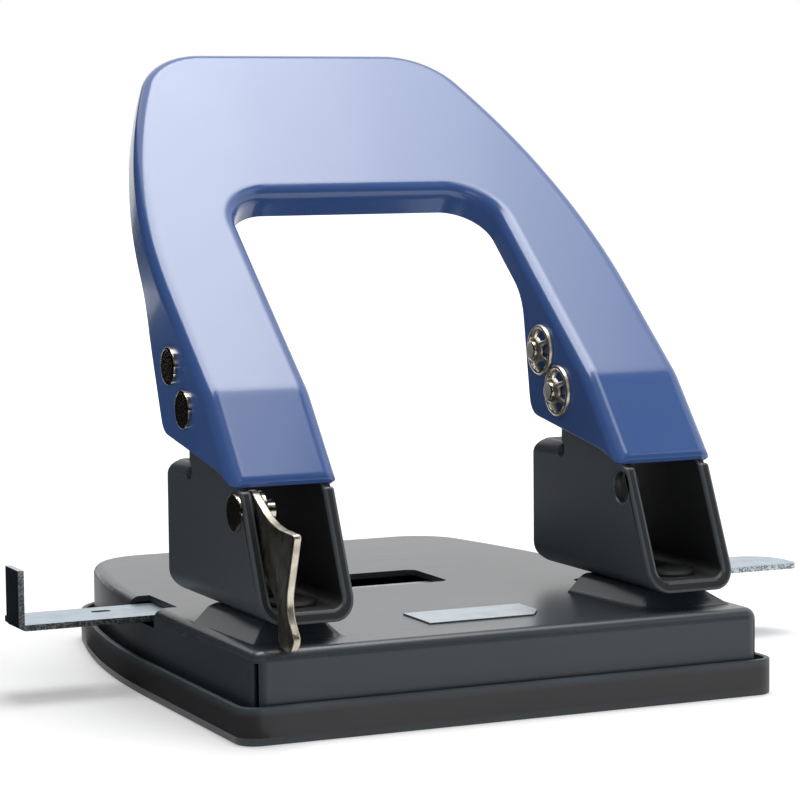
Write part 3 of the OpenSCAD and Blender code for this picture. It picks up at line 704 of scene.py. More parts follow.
def coil_tool() -> NodeTool:
    """Makes the tree that winds a wire into a spring with closed ends.

    Returns:
        Tool for coil springs; its input mesh isn't used.
    """
    tool = NodeTool(
        "coil_spring",
        {
            "Turns": ("Float", 7.0),
            "Radius": ("Float", 4.2 * MM),
            "Wire": ("Float", 0.5 * MM),
            "Height": ("Float", 19.0 * MM),
            "Foot": ("Vector", (0.0, 0.0, 0.0)),
            "Material": ("Material", None),
        },
    )
    given = tool.given
    path = tool.add(
        "GeometryNodeCurveSpiral",
        {
            "Resolution": 40, "Rotations": given["Turns"], "Start Radius": given["Radius"],
            "End Radius": given["Radius"], "Height": given["Height"],
        },
    )
    share = tool.add("GeometryNodeSplineParameter").outputs["Factor"]
    # The first and last turns lie nearly flat, as a ground spring's do
    rise = tool.add("ShaderNodeFloatCurve", {"Value": share})
    curve = rise.mapping.curves[0]
    for spot in ((0.11, 0.045), (0.2, 0.13), (0.8, 0.87), (0.89, 0.955)):
        curve.points.new(*spot)
    rise.mapping.update()
    height = tool.add("ShaderNodeMath", {0: rise, 1: given["Height"]}, operation="MULTIPLY")
    place = tool.add("ShaderNodeSeparateXYZ", {"Vector": tool.add("GeometryNodeInputPosition")}).outputs
    point = tool.add("ShaderNodeCombineXYZ", {"X": place["X"], "Y": place["Y"], "Z": height})
    wound = tool.add("GeometryNodeSetPosition", {"Geometry": path, "Position": point})
    section = tool.add("GeometryNodeCurvePrimitiveCircle", {"Resolution": 12, "Radius": given["Wire"]})
    wire = tool.add("GeometryNodeCurveToMesh", {"Curve": wound, "Profile Curve": section, "Fill Caps": True})
    tool.close(tool.add("GeometryNodeTransform", {"Geometry": wire, "Translation": given["Foot"]}))
    return tool


def star_tool() -> NodeTool:
    """Makes the tree that repeats one sector round a pin and sets the stars on both arms.

    Returns:
        Tool whose input mesh is one sector of a push nut, its axis along Z.
    """
    tool = NodeTool(
        "push_nuts",
        {
            "Spokes": ("Int", 6),
            "Face": ("Float", 29.3 * MM),
            "Pivot": ("Vector", (0.0, 0.0, 0.0)),
            "Drive": ("Vector", (0.0, 0.0, 0.0)),
            "Material": ("Material", None),
        },
    )
    given = tool.given
    index = tool.add("GeometryNodeInputIndex")
    step = tool.add("ShaderNodeMath", {0: math.tau, 1: given["Spokes"]}, operation="DIVIDE")
    angle = tool.add("ShaderNodeMath", {0: index, 1: step}, operation="MULTIPLY")
    lean = tool.add("ShaderNodeCombineXYZ", {"Z": angle})
    hub = tool.add("GeometryNodeMeshLine", {"Count": given["Spokes"], "Offset": (0.0, 0.0, 0.0)})
    star = tool.add(
        "GeometryNodeInstanceOnPoints", {"Points": hub, "Instance": given["Geometry"], "Rotation": lean}
    )
    stars = []
    for sign, facing in ((1.0, Facing.TO_LEFT), (-1.0, Facing.TO_RIGHT)):
        shift = tool.add("ShaderNodeMath", {0: given["Face"], 1: sign}, operation="MULTIPLY")
        aside = tool.add("ShaderNodeCombineXYZ", {"X": shift})
        start, end = (
            tool.add("ShaderNodeVectorMath", {0: given[pin], 1: aside}, operation="ADD") for pin in ("Pivot", "Drive")
        )
        pins = tool.add("GeometryNodeMeshLine", {"Count": 2, "Start Location": start, "Offset": end}, mode="END_POINTS")
        stars.append(
            tool.add("GeometryNodeInstanceOnPoints", {"Points": pins, "Instance": star, "Rotation": facing.value})
        )
    both = tool.add("GeometryNodeJoinGeometry")
    for part in stars:
        tool.tree.links.new(part.outputs[0], both.inputs[0])
    tool.close(both)
    return tool


# ---------------------------------------------------------------- sub-assemblies


@dataclass
class Base:
    """Base plate with its brackets, floor rivets, label and guide straps."""

    body: str = "base"
    rivet_x: float = 40.0 * MM
    rivet_front: float = -51.5 * MM
    rivet_rear: float = -36.0 * MM
    floor_top: float = 22.7 * MM
    channel_half: float = 7.12 * MM
    hole: tuple = (-48.3 * MM, 39.9 * MM)
    hole_reach: float = 3.2 * MM
    bore: float = 0.3
    floor_skin: float = 0.45 * MM
    neck: tuple = (-22.5 * MM, 46.4 * MM)
    neck_reach: float = 4.2 * MM
    seat_side: float = 50.2 * MM
    seat_front: float = -60.0 * MM
    seat_back: float = -25.0 * MM
    seat_round: float = 1.1 * MM
    seat_steps: int = 4
    seat_turn: float = 30.0
    seat_up: float = 0.1
    level: float = 0.35
    rivet_outline: tuple = ((0.0, 1.05), (2.6, 1.08), (3.9, 1.0), (4.45, 0.78), (4.7, 0.42), (4.7, 0.0), (0.0, 0.0))

    def under_handle(self, place: Vector) -> bool:
        """Tells whether a bracket's edge lies at the neck or at the ears, which the handle hides."""
        return place.z > self.neck[1] or math.hypot(place.y - self.neck[0], place.z - self.neck[1]) < self.neck_reach

    def on_side(self, face: MeshPolygon) -> bool:
        """Tells whether a face of the plate lies on its folded sides."""
        return face.normal.z < self.level

    def in_channel(self, face: MeshPolygon) -> bool:
        """Tells whether a face of a bracket lies inside its channel or in the wall of its front hole."""
        spot = face.center
        inside = abs(abs(spot.x) - self.rivet_x) < self.channel_half and spot.z > self.floor_top - self.floor_skin
        near = math.hypot(spot.y - self.hole[0], spot.z - self.hole[1]) < self.hole_reach
        return inside or (near and abs(face.normal.x) < self.bore)

    def soften_seats(self, tool: bmesh.types.BMesh) -> None:
        """Rounds the two raised seats into the plate, as a press leaves them.

        Args:
            tool: Merged mesh of the plate.
        """
        edges = []
        for edge in tool.edges:
            if len(edge.link_faces) != 2 or min(f.normal.z for f in edge.link_faces) < self.seat_up:
                continue
            ends = [v.co for v in edge.verts]
            inside = all(abs(c.x) < self.seat_side and self.seat_front < c.y < self.seat_back for c in ends)
            if inside and edge.calc_face_angle(0.0) > math.radians(self.seat_turn):
                edges.append(edge)
        break_edges(tool, edges, self.seat_round, self.seat_steps)

    def build(self, finishes: Materials, turned: NodeTool) -> None:
        """Builds and dresses the plate, brackets, rivets, straps and label.

        Args:
            finishes: Materials by finish name.
            turned: Tree that turns the rivet heads.
        """
        # Paint runs thinner and dries duller on the folded sides than on the level top
        SheetPiece("base_plate", self.body, "plate_paint", edge=0.22 * MM).dress(
            finishes["plate"], self.soften_seats, finishes["plate_side"], self.on_side
        )
        # Faces inside a bracket's channel and in the wall of its front hole get the near-black paint: painted shade,
        # where those hollows lie in shadow
        for side in Side:
            piece = SheetPiece(
                f"bracket_{side.name.lower()}", self.body, "bracket_paint", edge=0.7 * MM,
                steps=4, held=False, spare=self.under_handle,
            )
            piece.dress(finishes["bracket"], second=finishes["channel"], picks=self.in_channel)
        SheetPiece("guide_straps", self.body, "zinc", edge=0.12 * MM).dress(finishes["zinc"])
        SheetPiece("label_plate", self.body, "label_foil", edge=0.07 * MM).dress(finishes["foil"])
        # The floor rivet heads inside the channels get the same near-black paint: painted shade
        heads = turned_piece(
            turned, "bracket_rivet_heads", self.rivet_outline,
            Columns=2, Rows=2,
            Column_gap=2 * self.rivet_x, Row_gap=self.rivet_rear - self.rivet_front,
            Centre=(0.0, (self.rivet_front + self.rivet_rear) / 2, self.floor_top),
            Material=finishes["channel"],
        )
        settle(heads, self.body, "bracket_paint", finishes["channel"], "bracket_rivets")


@dataclass
class Tray:
    """Shallow moulded tray under the plate."""

    body: str = "chip_tray"
    edge: float = 0.35 * MM

    def build(self, finishes: Materials) -> None:
        """Builds and dresses the tray."""
        SheetPiece("chip_tray", self.body, "tray_plastic", self.edge).dress(finishes["tray"])


@dataclass
class PunchSet:
    """The two punch rods with their spring rings and return springs."""

    x: float = 40.0 * MM
    y: float = -17.5 * MM
    spring_low: float = 22.7 * MM
    spring_high: float = 43.0 * MM
    spring_radius: float = 4.2 * MM
    wire_radius: float = 0.5 * MM
    turns: float = 7.0
    travel: float = 8.98 * MM

    def build(self, finishes: Materials, coil: NodeTool) -> None:
        """Builds and dresses rods, rings and springs on both sides.

        Args:
            finishes: Materials by finish name.
            coil: Tree that winds the springs.
        """
        length = self.spring_high - self.spring_low
        for side in Side:
            name = side.name.lower()
            rider = f"punch_{name}"
            SheetPiece(f"punch_{name}", rider, "tool_steel", edge=0.15 * MM).dress(finishes["tool"])
            SheetPiece(f"spring_ring_{name}", rider, "spring_steel", edge=0.1 * MM).dress(finishes["wire"])
            spring = from_points(f"return_spring_{name}_coil", [(0.0, 0.0, 0.0)])
            coil.run(
                spring,
                Turns=self.turns, Radius=self.spring_radius, Wire=self.wire_radius,
                Height=length - 2 * self.wire_radius,
                Foot=(side.value * self.x, self.y, self.spring_low + self.wire_radius),
                Material=finishes["wire"],
            )
            settle(spring, "base", "spring_steel", finishes["wire"], f"return_spring_{name}")
            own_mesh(spring)


def rounded_path(points: Sequence[Point], radii: Sequence[float], step: float) -> list[Point]:
    """Open path through points with its inner corners rounded.

    Args:
        points: Corners of the path.
        radii: Radius at each corner; the first and last aren't used.
        step: Largest turn between two points of an arc, in degrees.

    Returns:
        The path as a dense list of points.
    """
    path = [points[0]]
    for k in range(1, len(points) - 1):
        before, spot, after = (Vector(points[i]) for i in (k - 1, k, k + 1))
        back, on = (before - spot).normalized(), (after - spot).normalized()
        turn = math.pi - back.angle(on)
        reach = radii[k] * math.tan(turn / 2)
        centre = spot + (back + on).normalized() * math.hypot(radii[k], reach)
        start, end = spot + back * reach - centre, spot + on * reach - centre
        count = max(2, math.ceil(math.degrees(turn) / step))
        for i in range(count + 1):
            share = i / count
            arm = (start * math.sin(turn * (1 - share)) + end * math.sin(turn * share)) / math.sin(turn)
            path.append(tuple(centre + arm))
    path.append(points[-1])
    return path


def walk(path: Sequence[Point], spots: Sequence[float], along: int | None = None) -> list[Point]:
    """Points of a path at given lengths, or at given values of one coordinate.

    Args:
        path: Dense path.
        spots: Lengths along the path, or values of the coordinate, rising.
        along: Coordinate to go by; by length if none.

    Returns:
        One point for each spot.
    """
    marks = [0.0]
    for one, two in zip(path, path[1:]):
        marks.append(marks[-1] + math.dist(one, two))
    if along is not None:
        marks = [point[along] for point in path]
    found = []
    for spot in spots:
        k = next((i for i in range(1, len(path) - 1) if marks[i] >= spot), len(path) - 1)
        share = (spot - marks[k - 1]) / (marks[k] - marks[k - 1])
        found.append(tuple(p + (q - p) * share for p, q in zip(path[k - 1], path[k])))
    return found


@dataclass
class HandleSheet:
    """The handle's one bent sheet, drawn as sections set round its outline, so that its folds run smooth.

    Sizes are in millimetres: u across, v up the slope from the bend, w square to the sheet.
    """

    slope: float = 39.35
    bend: float = 10.65
    bend_at: float = -3.6
    origin: Point = (-33.954, 63.712)
    sheet: float = 1.0
    fold: float = 2.8
    fold_steps: int = 9
    outer: float = 50.7
    inner: float = 29.3
    lip: float = -23.75
    soft: float = 1.6
    guard: float = 0.35
    roll: float = 1.1
    roll_drop: float = 0.55
    rim: float = 0.3
    corner_steps: int = 56
    shoulder: Point = (50.7, 56.6)
    shoulder_r: float = 172.8
    tail: Point = (32.516, 100.5)
    tail_r: float = 16.5
    slot_top: float = 53.6
    slot_r: float = 9.5
    outer_skirt: tuple = ((-60, -4.95), (-24.1, -4.95), (-16.8, -7.8), (9, -22.95), (33.1, -9.54), (201, -1))
    outer_rounds: tuple = (0, 0.1, 15, 4, 25, 0)
    inner_skirt: tuple = ((-60, -4.95), (-24.1, -4.95), (-16.8, -7.8), (9, -22.95), (27, -6.9), (201, -6.9))
    inner_rounds: tuple = (0, 0.1, 15, 4, 12, 0)

    def face(self, v: float) -> float:
        """Height of the sheet's face at a place up the slope: level above the bend, falling below it."""
        fall = math.tan(math.radians(self.bend))
        past = v - self.bend_at
        if past >= self.soft:
            rise = 0.0
        elif past <= -self.soft:
            rise = fall * past
        else:
            rise = -fall * (self.soft - past) ** 2 / (4 * self.soft)
        # The lip's upper edge is rolled over a little
        near = max(0.0, 1.0 - (v - self.lip) / self.roll)
        return rise - self.roll_drop * near**2

    def stations(self) -> list[tuple[Point, Point]]:
        """Pairs of places on the left half's outer edge and slot edge, from the lip up to the middle."""
        corners = [(self.outer, -60), self.shoulder, self.tail, (0.0, self.tail[1])]
        edge = rounded_path(corners, [0, self.shoulder_r, self.tail_r, 0], 1.5)
        low = self.slot_top - self.slot_r
        rows = [self.lip + d for d in (0.0, 0.12, 0.3, 0.55, 0.8, 1.1, 1.6)]
        rows += [-20.0 + 2.0 * k for k in range(7)] + [self.bend_at - 2.6 + 0.4 * k for k in range(14)]
        rows += [0.2, 1.5, 2.8] + [4.0 + 1.25 * k for k in range(33)]
        rows = [v for v in rows if v < low - 0.3] + [low]
        pairs = [(point, (self.inner, point[1])) for point in walk(edge, rows, along=1)]
        rest = [p for p in edge if p[1] > low and p[0] > 0.01]
        rest = [pairs[-1][0]] + rest + [(0.0, self.tail[1])]
        total = sum(math.dist(p, q) for p, q in zip(rest, rest[1:]))
        wide = self.inner - self.slot_r
        count = self.corner_steps
        for k, point in enumerate(walk(rest, [(total - wide) * i / count for i in range(1, count + 1)])):
            a = math.radians(90 * (k + 1) / count)
            pairs.append((point, (wide + self.slot_r * math.cos(a), low + self.slot_r * math.sin(a))))
        pairs += [((wide * (1 - k / 6), self.tail[1]), (wide * (1 - k / 6), self.slot_top)) for k in range(1, 7)]
        return pairs

    def side(self, spot: Point, out: Point, low: float) -> list[tuple[float, float, float]]:
        """Fold and cheek along one edge, from the face round to the underside.

        Args:
            spot: Place on the edge.
            out: Direction away from the sheet there.
            low: Height of the cheek's lower edge.

        Returns:
            Points from the guard line on the face to the guard line underneath.
        """
        top = self.face(spot[1])
        deep = max(top - low, self.sheet * 0.7)
        full = math.pi / 2
        if deep < self.fold:
            full = math.acos(1 - deep / self.fold)
        turns = [full * i / self.fold_steps for i in range(self.fold_steps + 1)]
        thin = self.fold - self.sheet
        ins_outer = [(self.fold + self.guard, 0.0)]
        ins_outer += [(self.fold * (1 - math.sin(a)), self.fold * (1 - math.cos(a))) for a in turns]
        ins_inner = [(self.fold - thin * math.sin(a), self.fold - thin * math.cos(a)) for a in reversed(turns)]
        ins_inner += [(self.fold + self.guard, self.sheet)]
        outer_in, inner_in = ins_outer[-1], ins_inner[0]
        room = deep - outer_in[1]
        rim = min(self.rim, room / 3)
        cheek = [(outer_in[0], outer_in[1] + min(self.guard, room / 3)), (outer_in[0], deep - rim)]
        cheek += [(outer_in[0] + 0.3 * rim, deep - 0.3 * rim), (outer_in[0] + rim, deep)]
        inside = inner_in[0]
        cheek += [(inside - rim, deep), (inside - 0.3 * rim, deep - 0.3 * rim), (inside, deep - rim)]
        cheek += [(inside, inner_in[1] + max(0.0, min(self.guard, (deep - rim - inner_in[1]) / 2)))]
        return [(spot[0] - out[0] * i, spot[1] - out[1] * i, top - d) for i, d in ins_outer + cheek + ins_inner]

    def place(self, u: float, v: float, w: float) -> tuple[float, float, float]:
        """Point of the frame, in metres, for a point of the sheet."""
        a = math.radians(self.slope)
        y = self.origin[0] + v * math.cos(a) - w * math.sin(a)
        z = self.origin[1] + v * math.sin(a) + w * math.cos(a)
        return (u * MM, y * MM, z * MM)

    def build(self) -> Object:
        """Builds the sheet as one closed skin.

        Returns:
            The handle's mesh object.
        """
        pairs = self.stations()
        skirts = [
            rounded_path(points, rounds, 4.0)
            for points, rounds in ((self.outer_skirt, self.outer_rounds), (self.inner_skirt, self.inner_rounds))
        ]
        loops = []
        for k, pair in enumerate(pairs):
            before, after = pairs[max(k - 1, 0)], pairs[min(k + 1, len(pairs) - 1)]
            halves = []
            for edge, sign in ((0, 1), (1, -1)):
                along = Vector(after[edge]) - Vector(before[edge])
                if k in (0, len(pairs) - 1):
                    along = Vector((0.0, 1.0)) if k == 0 else Vector((-1.0, 0.0))
                along.normalize()
                out = (sign * along.y, -sign * along.x)
                low = walk(skirts[edge], [pair[edge][1]], along=0)[0][1]
                halves.append(self.side(pair[edge], out, low))
            loops.append(halves[0] + halves[1][::-1])
        # The other half is the same sheet mirrored, without a second middle section
        loops += [[(-u, v, w) for u, v, w in loop] for loop in loops[-2::-1]]
        size = len(loops[0])
        points = [self.place(*point) for loop in loops for point in loop]
        faces = ring_faces(0, len(loops), size)
        # Each lip is closed between the fold's outside and inside, point against point
        half = size // 2
        for first in (0, (len(loops) - 1) * size):
            for j in range(half // 2):
                for start in (0, half):
                    a, b = start + j, start + half - 1 - j
                    if b - a > 1:
                        faces.append((first + a, first + a + 1, first + b - 1, first + b))
            faces.append((first, first + half - 1, first + half, first + size - 1))
        return bake_down(from_points("handle_sheet", points, faces), smooth=38.0)


@dataclass
class Handle:
    """Pressed handle with its pins and push nuts."""

    body: str = "handle"
    pivot: tuple = (-25.3, 57.1)
    drive: tuple = (-17.687, 64.901)
    outer: float = 50.7
    inner: float = 29.3
    pin_radius: float = 2.0
    head_radius: float = 3.75
    head_height: float = 0.9
    stub: float = 3.0
    stub_end: float = 0.2

    def is_stub(self, face: MeshPolygon) -> bool:
        """Tells whether a face of a pin lies on the end of its stub."""
        return abs(face.center.x) < (self.inner - self.stub + self.stub_end) * MM

    def pin_outline(self) -> list[Point]:
        """Side outline of a headed pin, from the face of its head to the rounded end of its stub."""
        r, head, tall = self.pin_radius, self.head_radius, self.head_height
        reach = self.outer - self.inner + self.stub
        return [
            (0.0, tall - 0.02), (head - 0.75, tall - 0.02), (head - 0.5, tall), (head - 0.22, tall - 0.06),
            (head - 0.05, tall - 0.22), (head, tall - 0.45), (head, 0.0), (r, 0.0),
            (r, 0.8 - reach), (r - 0.12, 0.5 - reach), (r - 0.4, 0.26 - reach), (r - 1.0, 0.08 - reach), (0.0, -reach),
        ]

    def nut_sector(self) -> Object:
        """One sixth of a push nut: rounded rim, one rising spoke and its share of the gripping collar.

        Returns:
            Object with the sector, its axis along Z and the cheek at Z = 0.
        """
        rim = (
            (4.12, 0.0), (5.05, 0.0), (5.22, 0.25), (5.2, 0.55), (5.02, 0.8), (4.7, 0.9), (4.35, 0.8), (4.15, 0.5),
        )
        collar = ((2.02, 0.9), (2.6, 1.0), (2.85, 1.25), (2.8, 1.55), (2.5, 1.85), (2.2, 1.9), (2.02, 1.7))
        spoke = ((4.6, 0.4, 0.85), (4.1, 0.6, 0.55), (3.6, 0.9, 0.45), (3.1, 1.25, 0.55), (2.6, 1.5, 0.85))
        points: list[tuple[float, float, float]] = []
        faces: list[tuple[int, ...]] = []
        steps = 8
        for section in (rim, collar):
            faces += ring_faces(len(points), steps + 1, len(section))
            for k in range(steps + 1):
                a = math.radians(-30 + 60 * k / steps)
                points += [(r * MM * math.cos(a), r * MM * math.sin(a), z * MM) for r, z in section]
        section = ((-1, -0.25), (1, -0.25), (1, 0.1), (0.5, 0.36), (-0.5, 0.36), (-1, 0.1))
        first, size = len(points), len(section)
        points += [(r * MM, side * w * MM, (z + lift) * MM) for r, z, w in spoke for side, lift in section]
        faces += ring_faces(first, len(spoke), size)
        faces.append(tuple(range(first + size - 1, first - 1, -1)))
        faces.append(tuple(range(len(points) - size, len(points))))
        return from_points("push_nut_stars", points, faces)

    def build(self, finishes: Materials, turned: NodeTool, star: NodeTool) -> None:
        """Builds and dresses the handle, its four pins and its four push nuts.

        Args:
            finishes: Materials by finish name.
            turned: Tree that turns the pins.
            star: Tree that makes the push nuts.
        """
        sheet = HandleSheet().build()
        settle(sheet, self.body, "handle_paint", finishes["handle"], "handle")
        for pin, (y, z) in (("pivot_pin", self.pivot), ("drive_pin", self.drive)):
            for side in Side:
                name = f"{pin}_{side.name.lower()}"
                facing = Facing.TO_RIGHT if side is Side.RIGHT else Facing.TO_LEFT
                piece = turned_piece(
                    turned, name + "_turned", self.pin_outline(),
                    Segments=56, Centre=(side.value * self.outer * MM, y * MM, z * MM),
                    Turn=facing.value, Material=finishes["nickel"],
                )
                # The stub's end is as the shears left it, paler and duller than the turned head
                settle(
                    piece, self.body, "nickel", finishes["nickel"], name, second=finishes["stub"], picks=self.is_stub
                )
        nuts = self.nut_sector()
        star.run(
            nuts,
            Spokes=6, Face=self.inner * MM,
            Pivot=(0.0, self.pivot[0] * MM, self.pivot[1] * MM),
            Drive=(0.0, self.drive[0] * MM, self.drive[1] * MM),
            Material=finishes["nut"],
        )
        settle(nuts, self.body, "nickel", finishes["nut"], "push_nuts")


@dataclass
class Lock:
    """Lock lever with its rivet and washer on the left bracket."""

    y: float = -48.3
    z: float = 39.9
    wall: float = -49.4
    head_radius: float = 3.6
    head_height: float = 0.65
    shoulder_radius: float = 3.0
    shoulder: float = 2.43
    pin_radius: float = 2.0
    reach: float = 7.45
    washer: tuple = (-45.12, 0.8, 3.75)

    def build(self, finishes: Materials, turned: NodeTool) -> None:
        """Builds and dresses lever, rivet and washer.

        Args:
            finishes: Materials by finish name.
            turned: Tree that turns rivet and washer.
        """
        SheetPiece("lock_lever", "lock_lever", "nickel", edge=0.4 * MM, steps=4, held=False).dress(finishes["lever"])
        r, tall = self.head_radius, self.head_height
        outline = [
            (0.0, tall - 0.02), (r - 0.6, tall - 0.02), (r - 0.4, tall), (r - 0.15, tall - 0.08), (r, tall - 0.3),
            (r, 0.0), (self.shoulder_radius, 0.0), (self.shoulder_radius, -self.shoulder),
            (self.pin_radius, -self.shoulder), (self.pin_radius, 0.3 - self.reach),
            (self.pin_radius - 0.3, -self.reach), (0.0, -self.reach),
        ]
        rivet = turned_piece(
            turned, "lock_rivet_turned", outline,
            Segments=56, Centre=(self.wall * MM, self.y * MM, self.z * MM),
            Turn=Facing.TO_LEFT.value, Material=finishes["nickel"],
        )
        settle(rivet, "base", "nickel", finishes["nickel"], "lock_rivet")
        place, thick, wide = self.washer
        ring = [
            (self.pin_radius + 0.02, 0.0), (wide - 0.15, 0.0), (wide, 0.12), (wide, thick - 0.12),
            (wide - 0.15, thick), (self.pin_radius + 0.02, thick), (self.pin_radius + 0.02, 0.0),
        ]
        washer = turned_piece(
            turned, "lock_washer_turned", ring,
            Segments=48, Centre=(place * MM, self.y * MM, self.z * MM),
            Turn=Facing.TO_RIGHT.value, Material=finishes["nickel"],
        )
        settle(washer, "base", "nickel", finishes["nickel"], "lock_washer")


@dataclass
class PaperGuide:
    """Sliding paper guide: plated strip with bright faces and sheared edges."""

    body: str = "paper_guide"
    edge: float = 0.12 * MM
    flat: float = 0.9
    tab_face: float = -79.45 * MM
    tab_foot: float = 14.25 * MM
    tab_round: float = 1.6 * MM
    tab_steps: int = 6

    def is_cut(self, face: MeshPolygon) -> bool:
        """Tells whether a face lies on a sheared edge of the strip."""
        return abs(face.normal.y) > self.flat

    def round_tab(self, tool: bmesh.types.BMesh) -> None:
        """Rounds the outside of the bend under the tab, as a folding press leaves it."""
        edges = [e for e in tool.edges if all(v.co.x < self.tab_face and v.co.z < self.tab_foot for v in e.verts)]
        break_edges(tool, edges, self.tab_round, self.tab_steps)

    def build(self, finishes: Materials) -> None:
        """Builds the guide and gives its cut edges their own finish."""
        SheetPiece("paper_guide", self.body, "zinc", self.edge).dress(
            finishes["zinc"], self.round_tab, finishes["sheared"], self.is_cut
        )


# ---------------------------------------------------------------- studio


@dataclass
class Studio:
    """Pale floor, soft lamps, dark cards beside the set and the camera at the photograph's view."""

    eye: tuple = (-231.7, -528.5, 106.4)
    yaw: float = 24.17
    pitch: float = 5.13
    roll: float = -0.58
    focal_px: float = 2818.0
    picture_px: float = 800.0
    sensor: float = 36.0
    fill: float = 0.3
    floor_half: float = 12.0
    # Name, two opposite corners in metres and shade of each dark card
    cards: tuple = (
        ("flag_left", (-0.7, -1.5, 0.0), (-0.7, 2.8, 1.1), "#1C1D1E"),
        ("flag_low", (-0.8, -0.5, 1.5 * MM), (-0.075, 1.5, 1.5 * MM), "#1A1B1C"),
        ("flag_near", (-0.075, -0.5, 1.5 * MM), (-0.05, 1.5, 1.5 * MM), "#6A6C6E"),
        ("flag_back", (-0.8, 2.8, 0.0), (-0.14, 2.8, 1.1), "#1C1D1E"),
        ("flag_front", (-1.4, -1.5, 0.0), (1.4, -1.5, 1.2), "#1A1B1C"),
        ("flag_top", (-0.8, -1.6, 1.15), (0.8, 0.42, 1.15), "#8A8B8C"),
    )

    def camera(self) -> None:
        """Sets the camera where the photograph was taken."""
        yaw, pitch, roll = (math.radians(a) for a in (self.yaw, self.pitch, self.roll))
        look = Vector((math.sin(yaw) * math.cos(pitch), math.cos(yaw) * math.cos(pitch), -math.sin(pitch)))
        right = Vector((math.cos(yaw), -math.sin(yaw), 0.0))
        up = right.cross(look)
        right, up = (
            math.cos(roll) * right + math.sin(roll) * up,
            math.cos(roll) * up - math.sin(roll) * right,
        )
        data = bpy.data.cameras.new("camera")
        data.sensor_width = self.sensor
        data.lens = self.focal_px / self.picture_px * self.sensor
        data.clip_start, data.clip_end = 0.01, 50.0
        cam = bpy.data.objects.new("camera", data)
        place = Matrix((right, up, -look)).transposed().to_4x4()
        place.translation = Vector(self.eye) * MM
        cam.matrix_world = place
        bpy.context.scene.collection.objects.link(cam)
        bpy.context.scene.camera = cam

    def seen_share(self, tree: NodeTree) -> NodeSocket:
        """One for camera, mirror and clear rays, none for the rest."""
        path = add(tree, "ShaderNodeLightPath").outputs
        share = path["Is Camera Ray"]
        for kind in ("Is Glossy Ray", "Is Transmission Ray"):
            share = add(tree, "ShaderNodeMath", {0: share, 1: path[kind]}, operation="MAXIMUM").outputs[0]
        return share

    def world(self) -> None:
        """White surround where it is seen, plain fill light elsewhere."""
        world = bpy.data.worlds.new("surround")
        tree = blank_tree(world)
        level = add(tree, "ShaderNodeMapRange", {"Value": self.seen_share(tree), 3: self.fill, 4: 1.0})
        back = add(tree, "ShaderNodeBackground", {"Color": (1.0, 1.0, 1.0, 1.0), "Strength": level})
        add(tree, "ShaderNodeOutputWorld", {"Surface": back})
        bpy.context.scene.world = world

    def panel(
        self, name: str, low: Sequence, high: Sequence, material: str
    ) -> tuple[Object, NodeTree]:
        """Level or upright rectangle of the set.

        Args:
            name: Name of the panel.
            low: Its lowest corner in metres.
            high: The opposite corner.
            material: Name of its material.

        Returns:
            The panel and the empty tree of its material.
        """
        first, second = (axis for axis in range(3) if low[axis] != high[axis])
        corners = [list(low) for _ in range(4)]
        corners[1][first] = corners[2][first] = high[first]
        corners[2][second] = corners[3][second] = high[second]
        obj = from_points(name, corners, [(0, 1, 2, 3)])
        obj.data.materials.append(bpy.data.materials.new(material))
        return obj, blank_tree(obj.data.materials[0])

    def floor(self) -> None:
        """Pale paper floor that keeps the shadow."""
        half = self.floor_half
        tree = self.panel("studio_floor", (-half, -half, 0.0), (half, half, 0.0), "pale_studio_paper")[1]
        place = add(tree, "ShaderNodeTexCoord").outputs["Object"]
        fibre = add(tree, "ShaderNodeTexNoise", {"Vector": place, "Scale": per_mm(30.0), "Detail": 3.0})
        tint = add(
            tree, "ShaderNodeMix",
            {0: fibre, 6: linear("#F1F1F1"), 7: linear("#F5F5F5")}, data_type="RGBA",
        )
        paper = add(tree, "ShaderNodeBsdfDiffuse", {"Color": tint.outputs[2]})
        # The lamps reach about a metre; beyond that the paper runs out into the white surround
        away = add(tree, "ShaderNodeVectorMath", {0: place}, operation="LENGTH")
        run_out = add(tree, "ShaderNodeMapRange", {"Value": away.outputs["Value"], 1: 0.15, 2: 1.1, 3: 0.3, 4: 1.0})
        level = add(tree, "ShaderNodeMath", {0: self.seen_share(tree), 1: run_out}, operation="MULTIPLY")
        glow = add(tree, "ShaderNodeEmission", {"Strength": level})
        both = add(tree, "ShaderNodeAddShader", {0: paper, 1: glow})
        add(tree, "ShaderNodeOutputMaterial", {"Surface": both})

    def card(self, name: str, low: Sequence, high: Sequence, shade: str) -> None:
        """Dark card that only mirrors show, as a photographer's flag.

        Args:
            name: Name of the card.
            low: Its lowest corner in metres.
            high: The opposite corner.
            shade: Its colour.
        """
        obj, tree = self.panel(name, low, high, name + "_felt")
        matt = add(tree, "ShaderNodeBsdfDiffuse", {"Color": linear(shade)})
        add(tree, "ShaderNodeOutputMaterial", {"Surface": matt})
        obj.visible_camera = obj.visible_diffuse = obj.visible_shadow = obj.visible_transmission = False

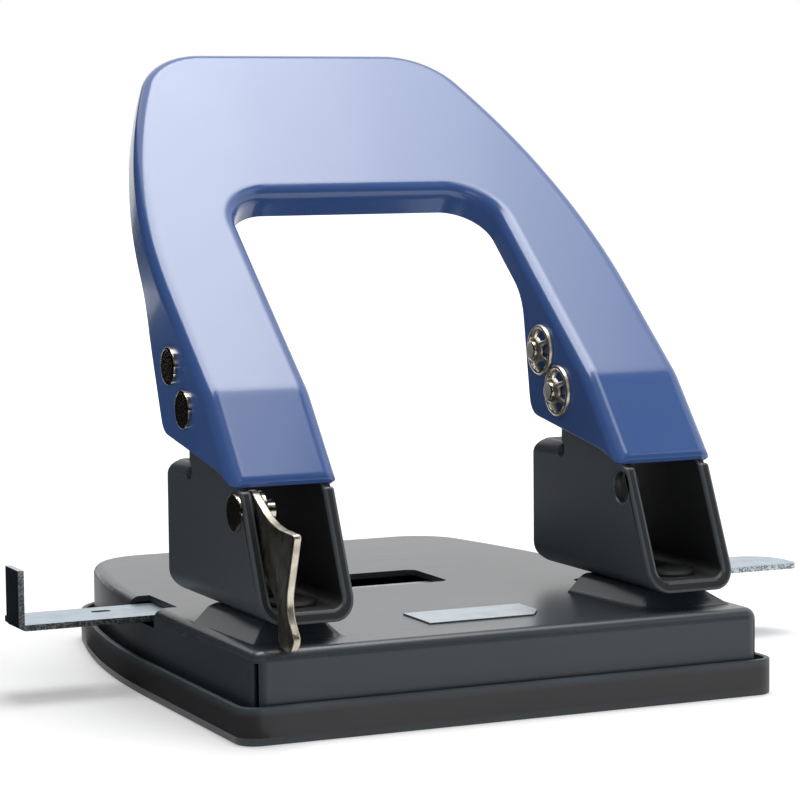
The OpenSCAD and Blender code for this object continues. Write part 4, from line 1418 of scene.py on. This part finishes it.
    def lamp(
        self, name: str, place: Sequence, size: tuple[float, float], radiance: float, aim: Sequence | None = None,
        mirrored_only: bool = False,
    ) -> None:
        """Soft box of even brightness.

        Args:
            name: Name of the lamp.
            place: Its middle in metres.
            size: Width and depth in metres.
            radiance: Its brightness, where 1 is white paper in plain light.
            aim: Point that it faces; straight down if none.
            mirrored_only: Whether only gloss shows it.
        """
        data = bpy.data.lights.new(name, "AREA")
        data.shape = "RECTANGLE"
        data.size, data.size_y = size
        data.energy = radiance * math.pi * size[0] * size[1]
        obj = bpy.data.objects.new(name, data)
        obj.location = place
        obj.visible_diffuse = not mirrored_only
        if aim:
            obj.rotation_mode = "QUATERNION"
            obj.rotation_quaternion = (Vector(aim) - Vector(place)).to_track_quat("-Z", "Y")
        bpy.context.scene.collection.objects.link(obj)

    def build(self) -> None:
        """Builds the whole set."""
        scene = bpy.context.scene
        scene.view_settings.view_transform = "Standard"
        self.world()
        self.floor()
        self.camera()
        self.lamp("overhead_box", (0.09, 0.12, 0.9), (0.4, 0.48), 6.6)
        # The box fades to the right in four steps, which the satin gloss blends into one slope
        for step, radiance in enumerate((5.3, 3.9, 2.5, 1.4)):
            self.lamp(f"overhead_fade_{step + 1}", (0.325 + 0.07 * step, 0.12, 0.9), (0.07, 0.48), radiance)
        self.lamp("overhead_left", (-0.3, 0.12, 0.9), (0.38, 0.48), 6.0, mirrored_only=True)
        self.lamp("overhead_edge", (0.64, 0.12, 0.9), (0.14, 0.48), 0.7)
        self.lamp("front_box", (0.17, -0.29, 0.9), (0.32, 0.32), 2.6)
        self.lamp("front_fill", (-0.5, -1.2, 0.7), (0.7, 0.5), 1.0, aim=(0.0, 0.0, 0.05))
        for card in self.cards:
            self.card(*card)


# ---------------------------------------------------------------- all together


def main() -> None:
    """Builds every sub-assembly in order, then the studio."""
    logging.basicConfig(level=logging.INFO, format="%(message)s")
    kinds = Finishes()
    finishes = {name: getattr(kinds, name).make() for name in kinds.__dataclass_fields__}
    turned, coil, star = turned_tool(), coil_tool(), star_tool()
    Tray().build(finishes)
    Base().build(finishes, turned)
    PunchSet().build(finishes, coil)
    Handle().build(finishes, turned, star)
    Lock().build(finishes, turned)
    PaperGuide().build(finishes)
    Studio().build()
    bpy.context.view_layer.update()


if __name__ == "__main__":
    main()
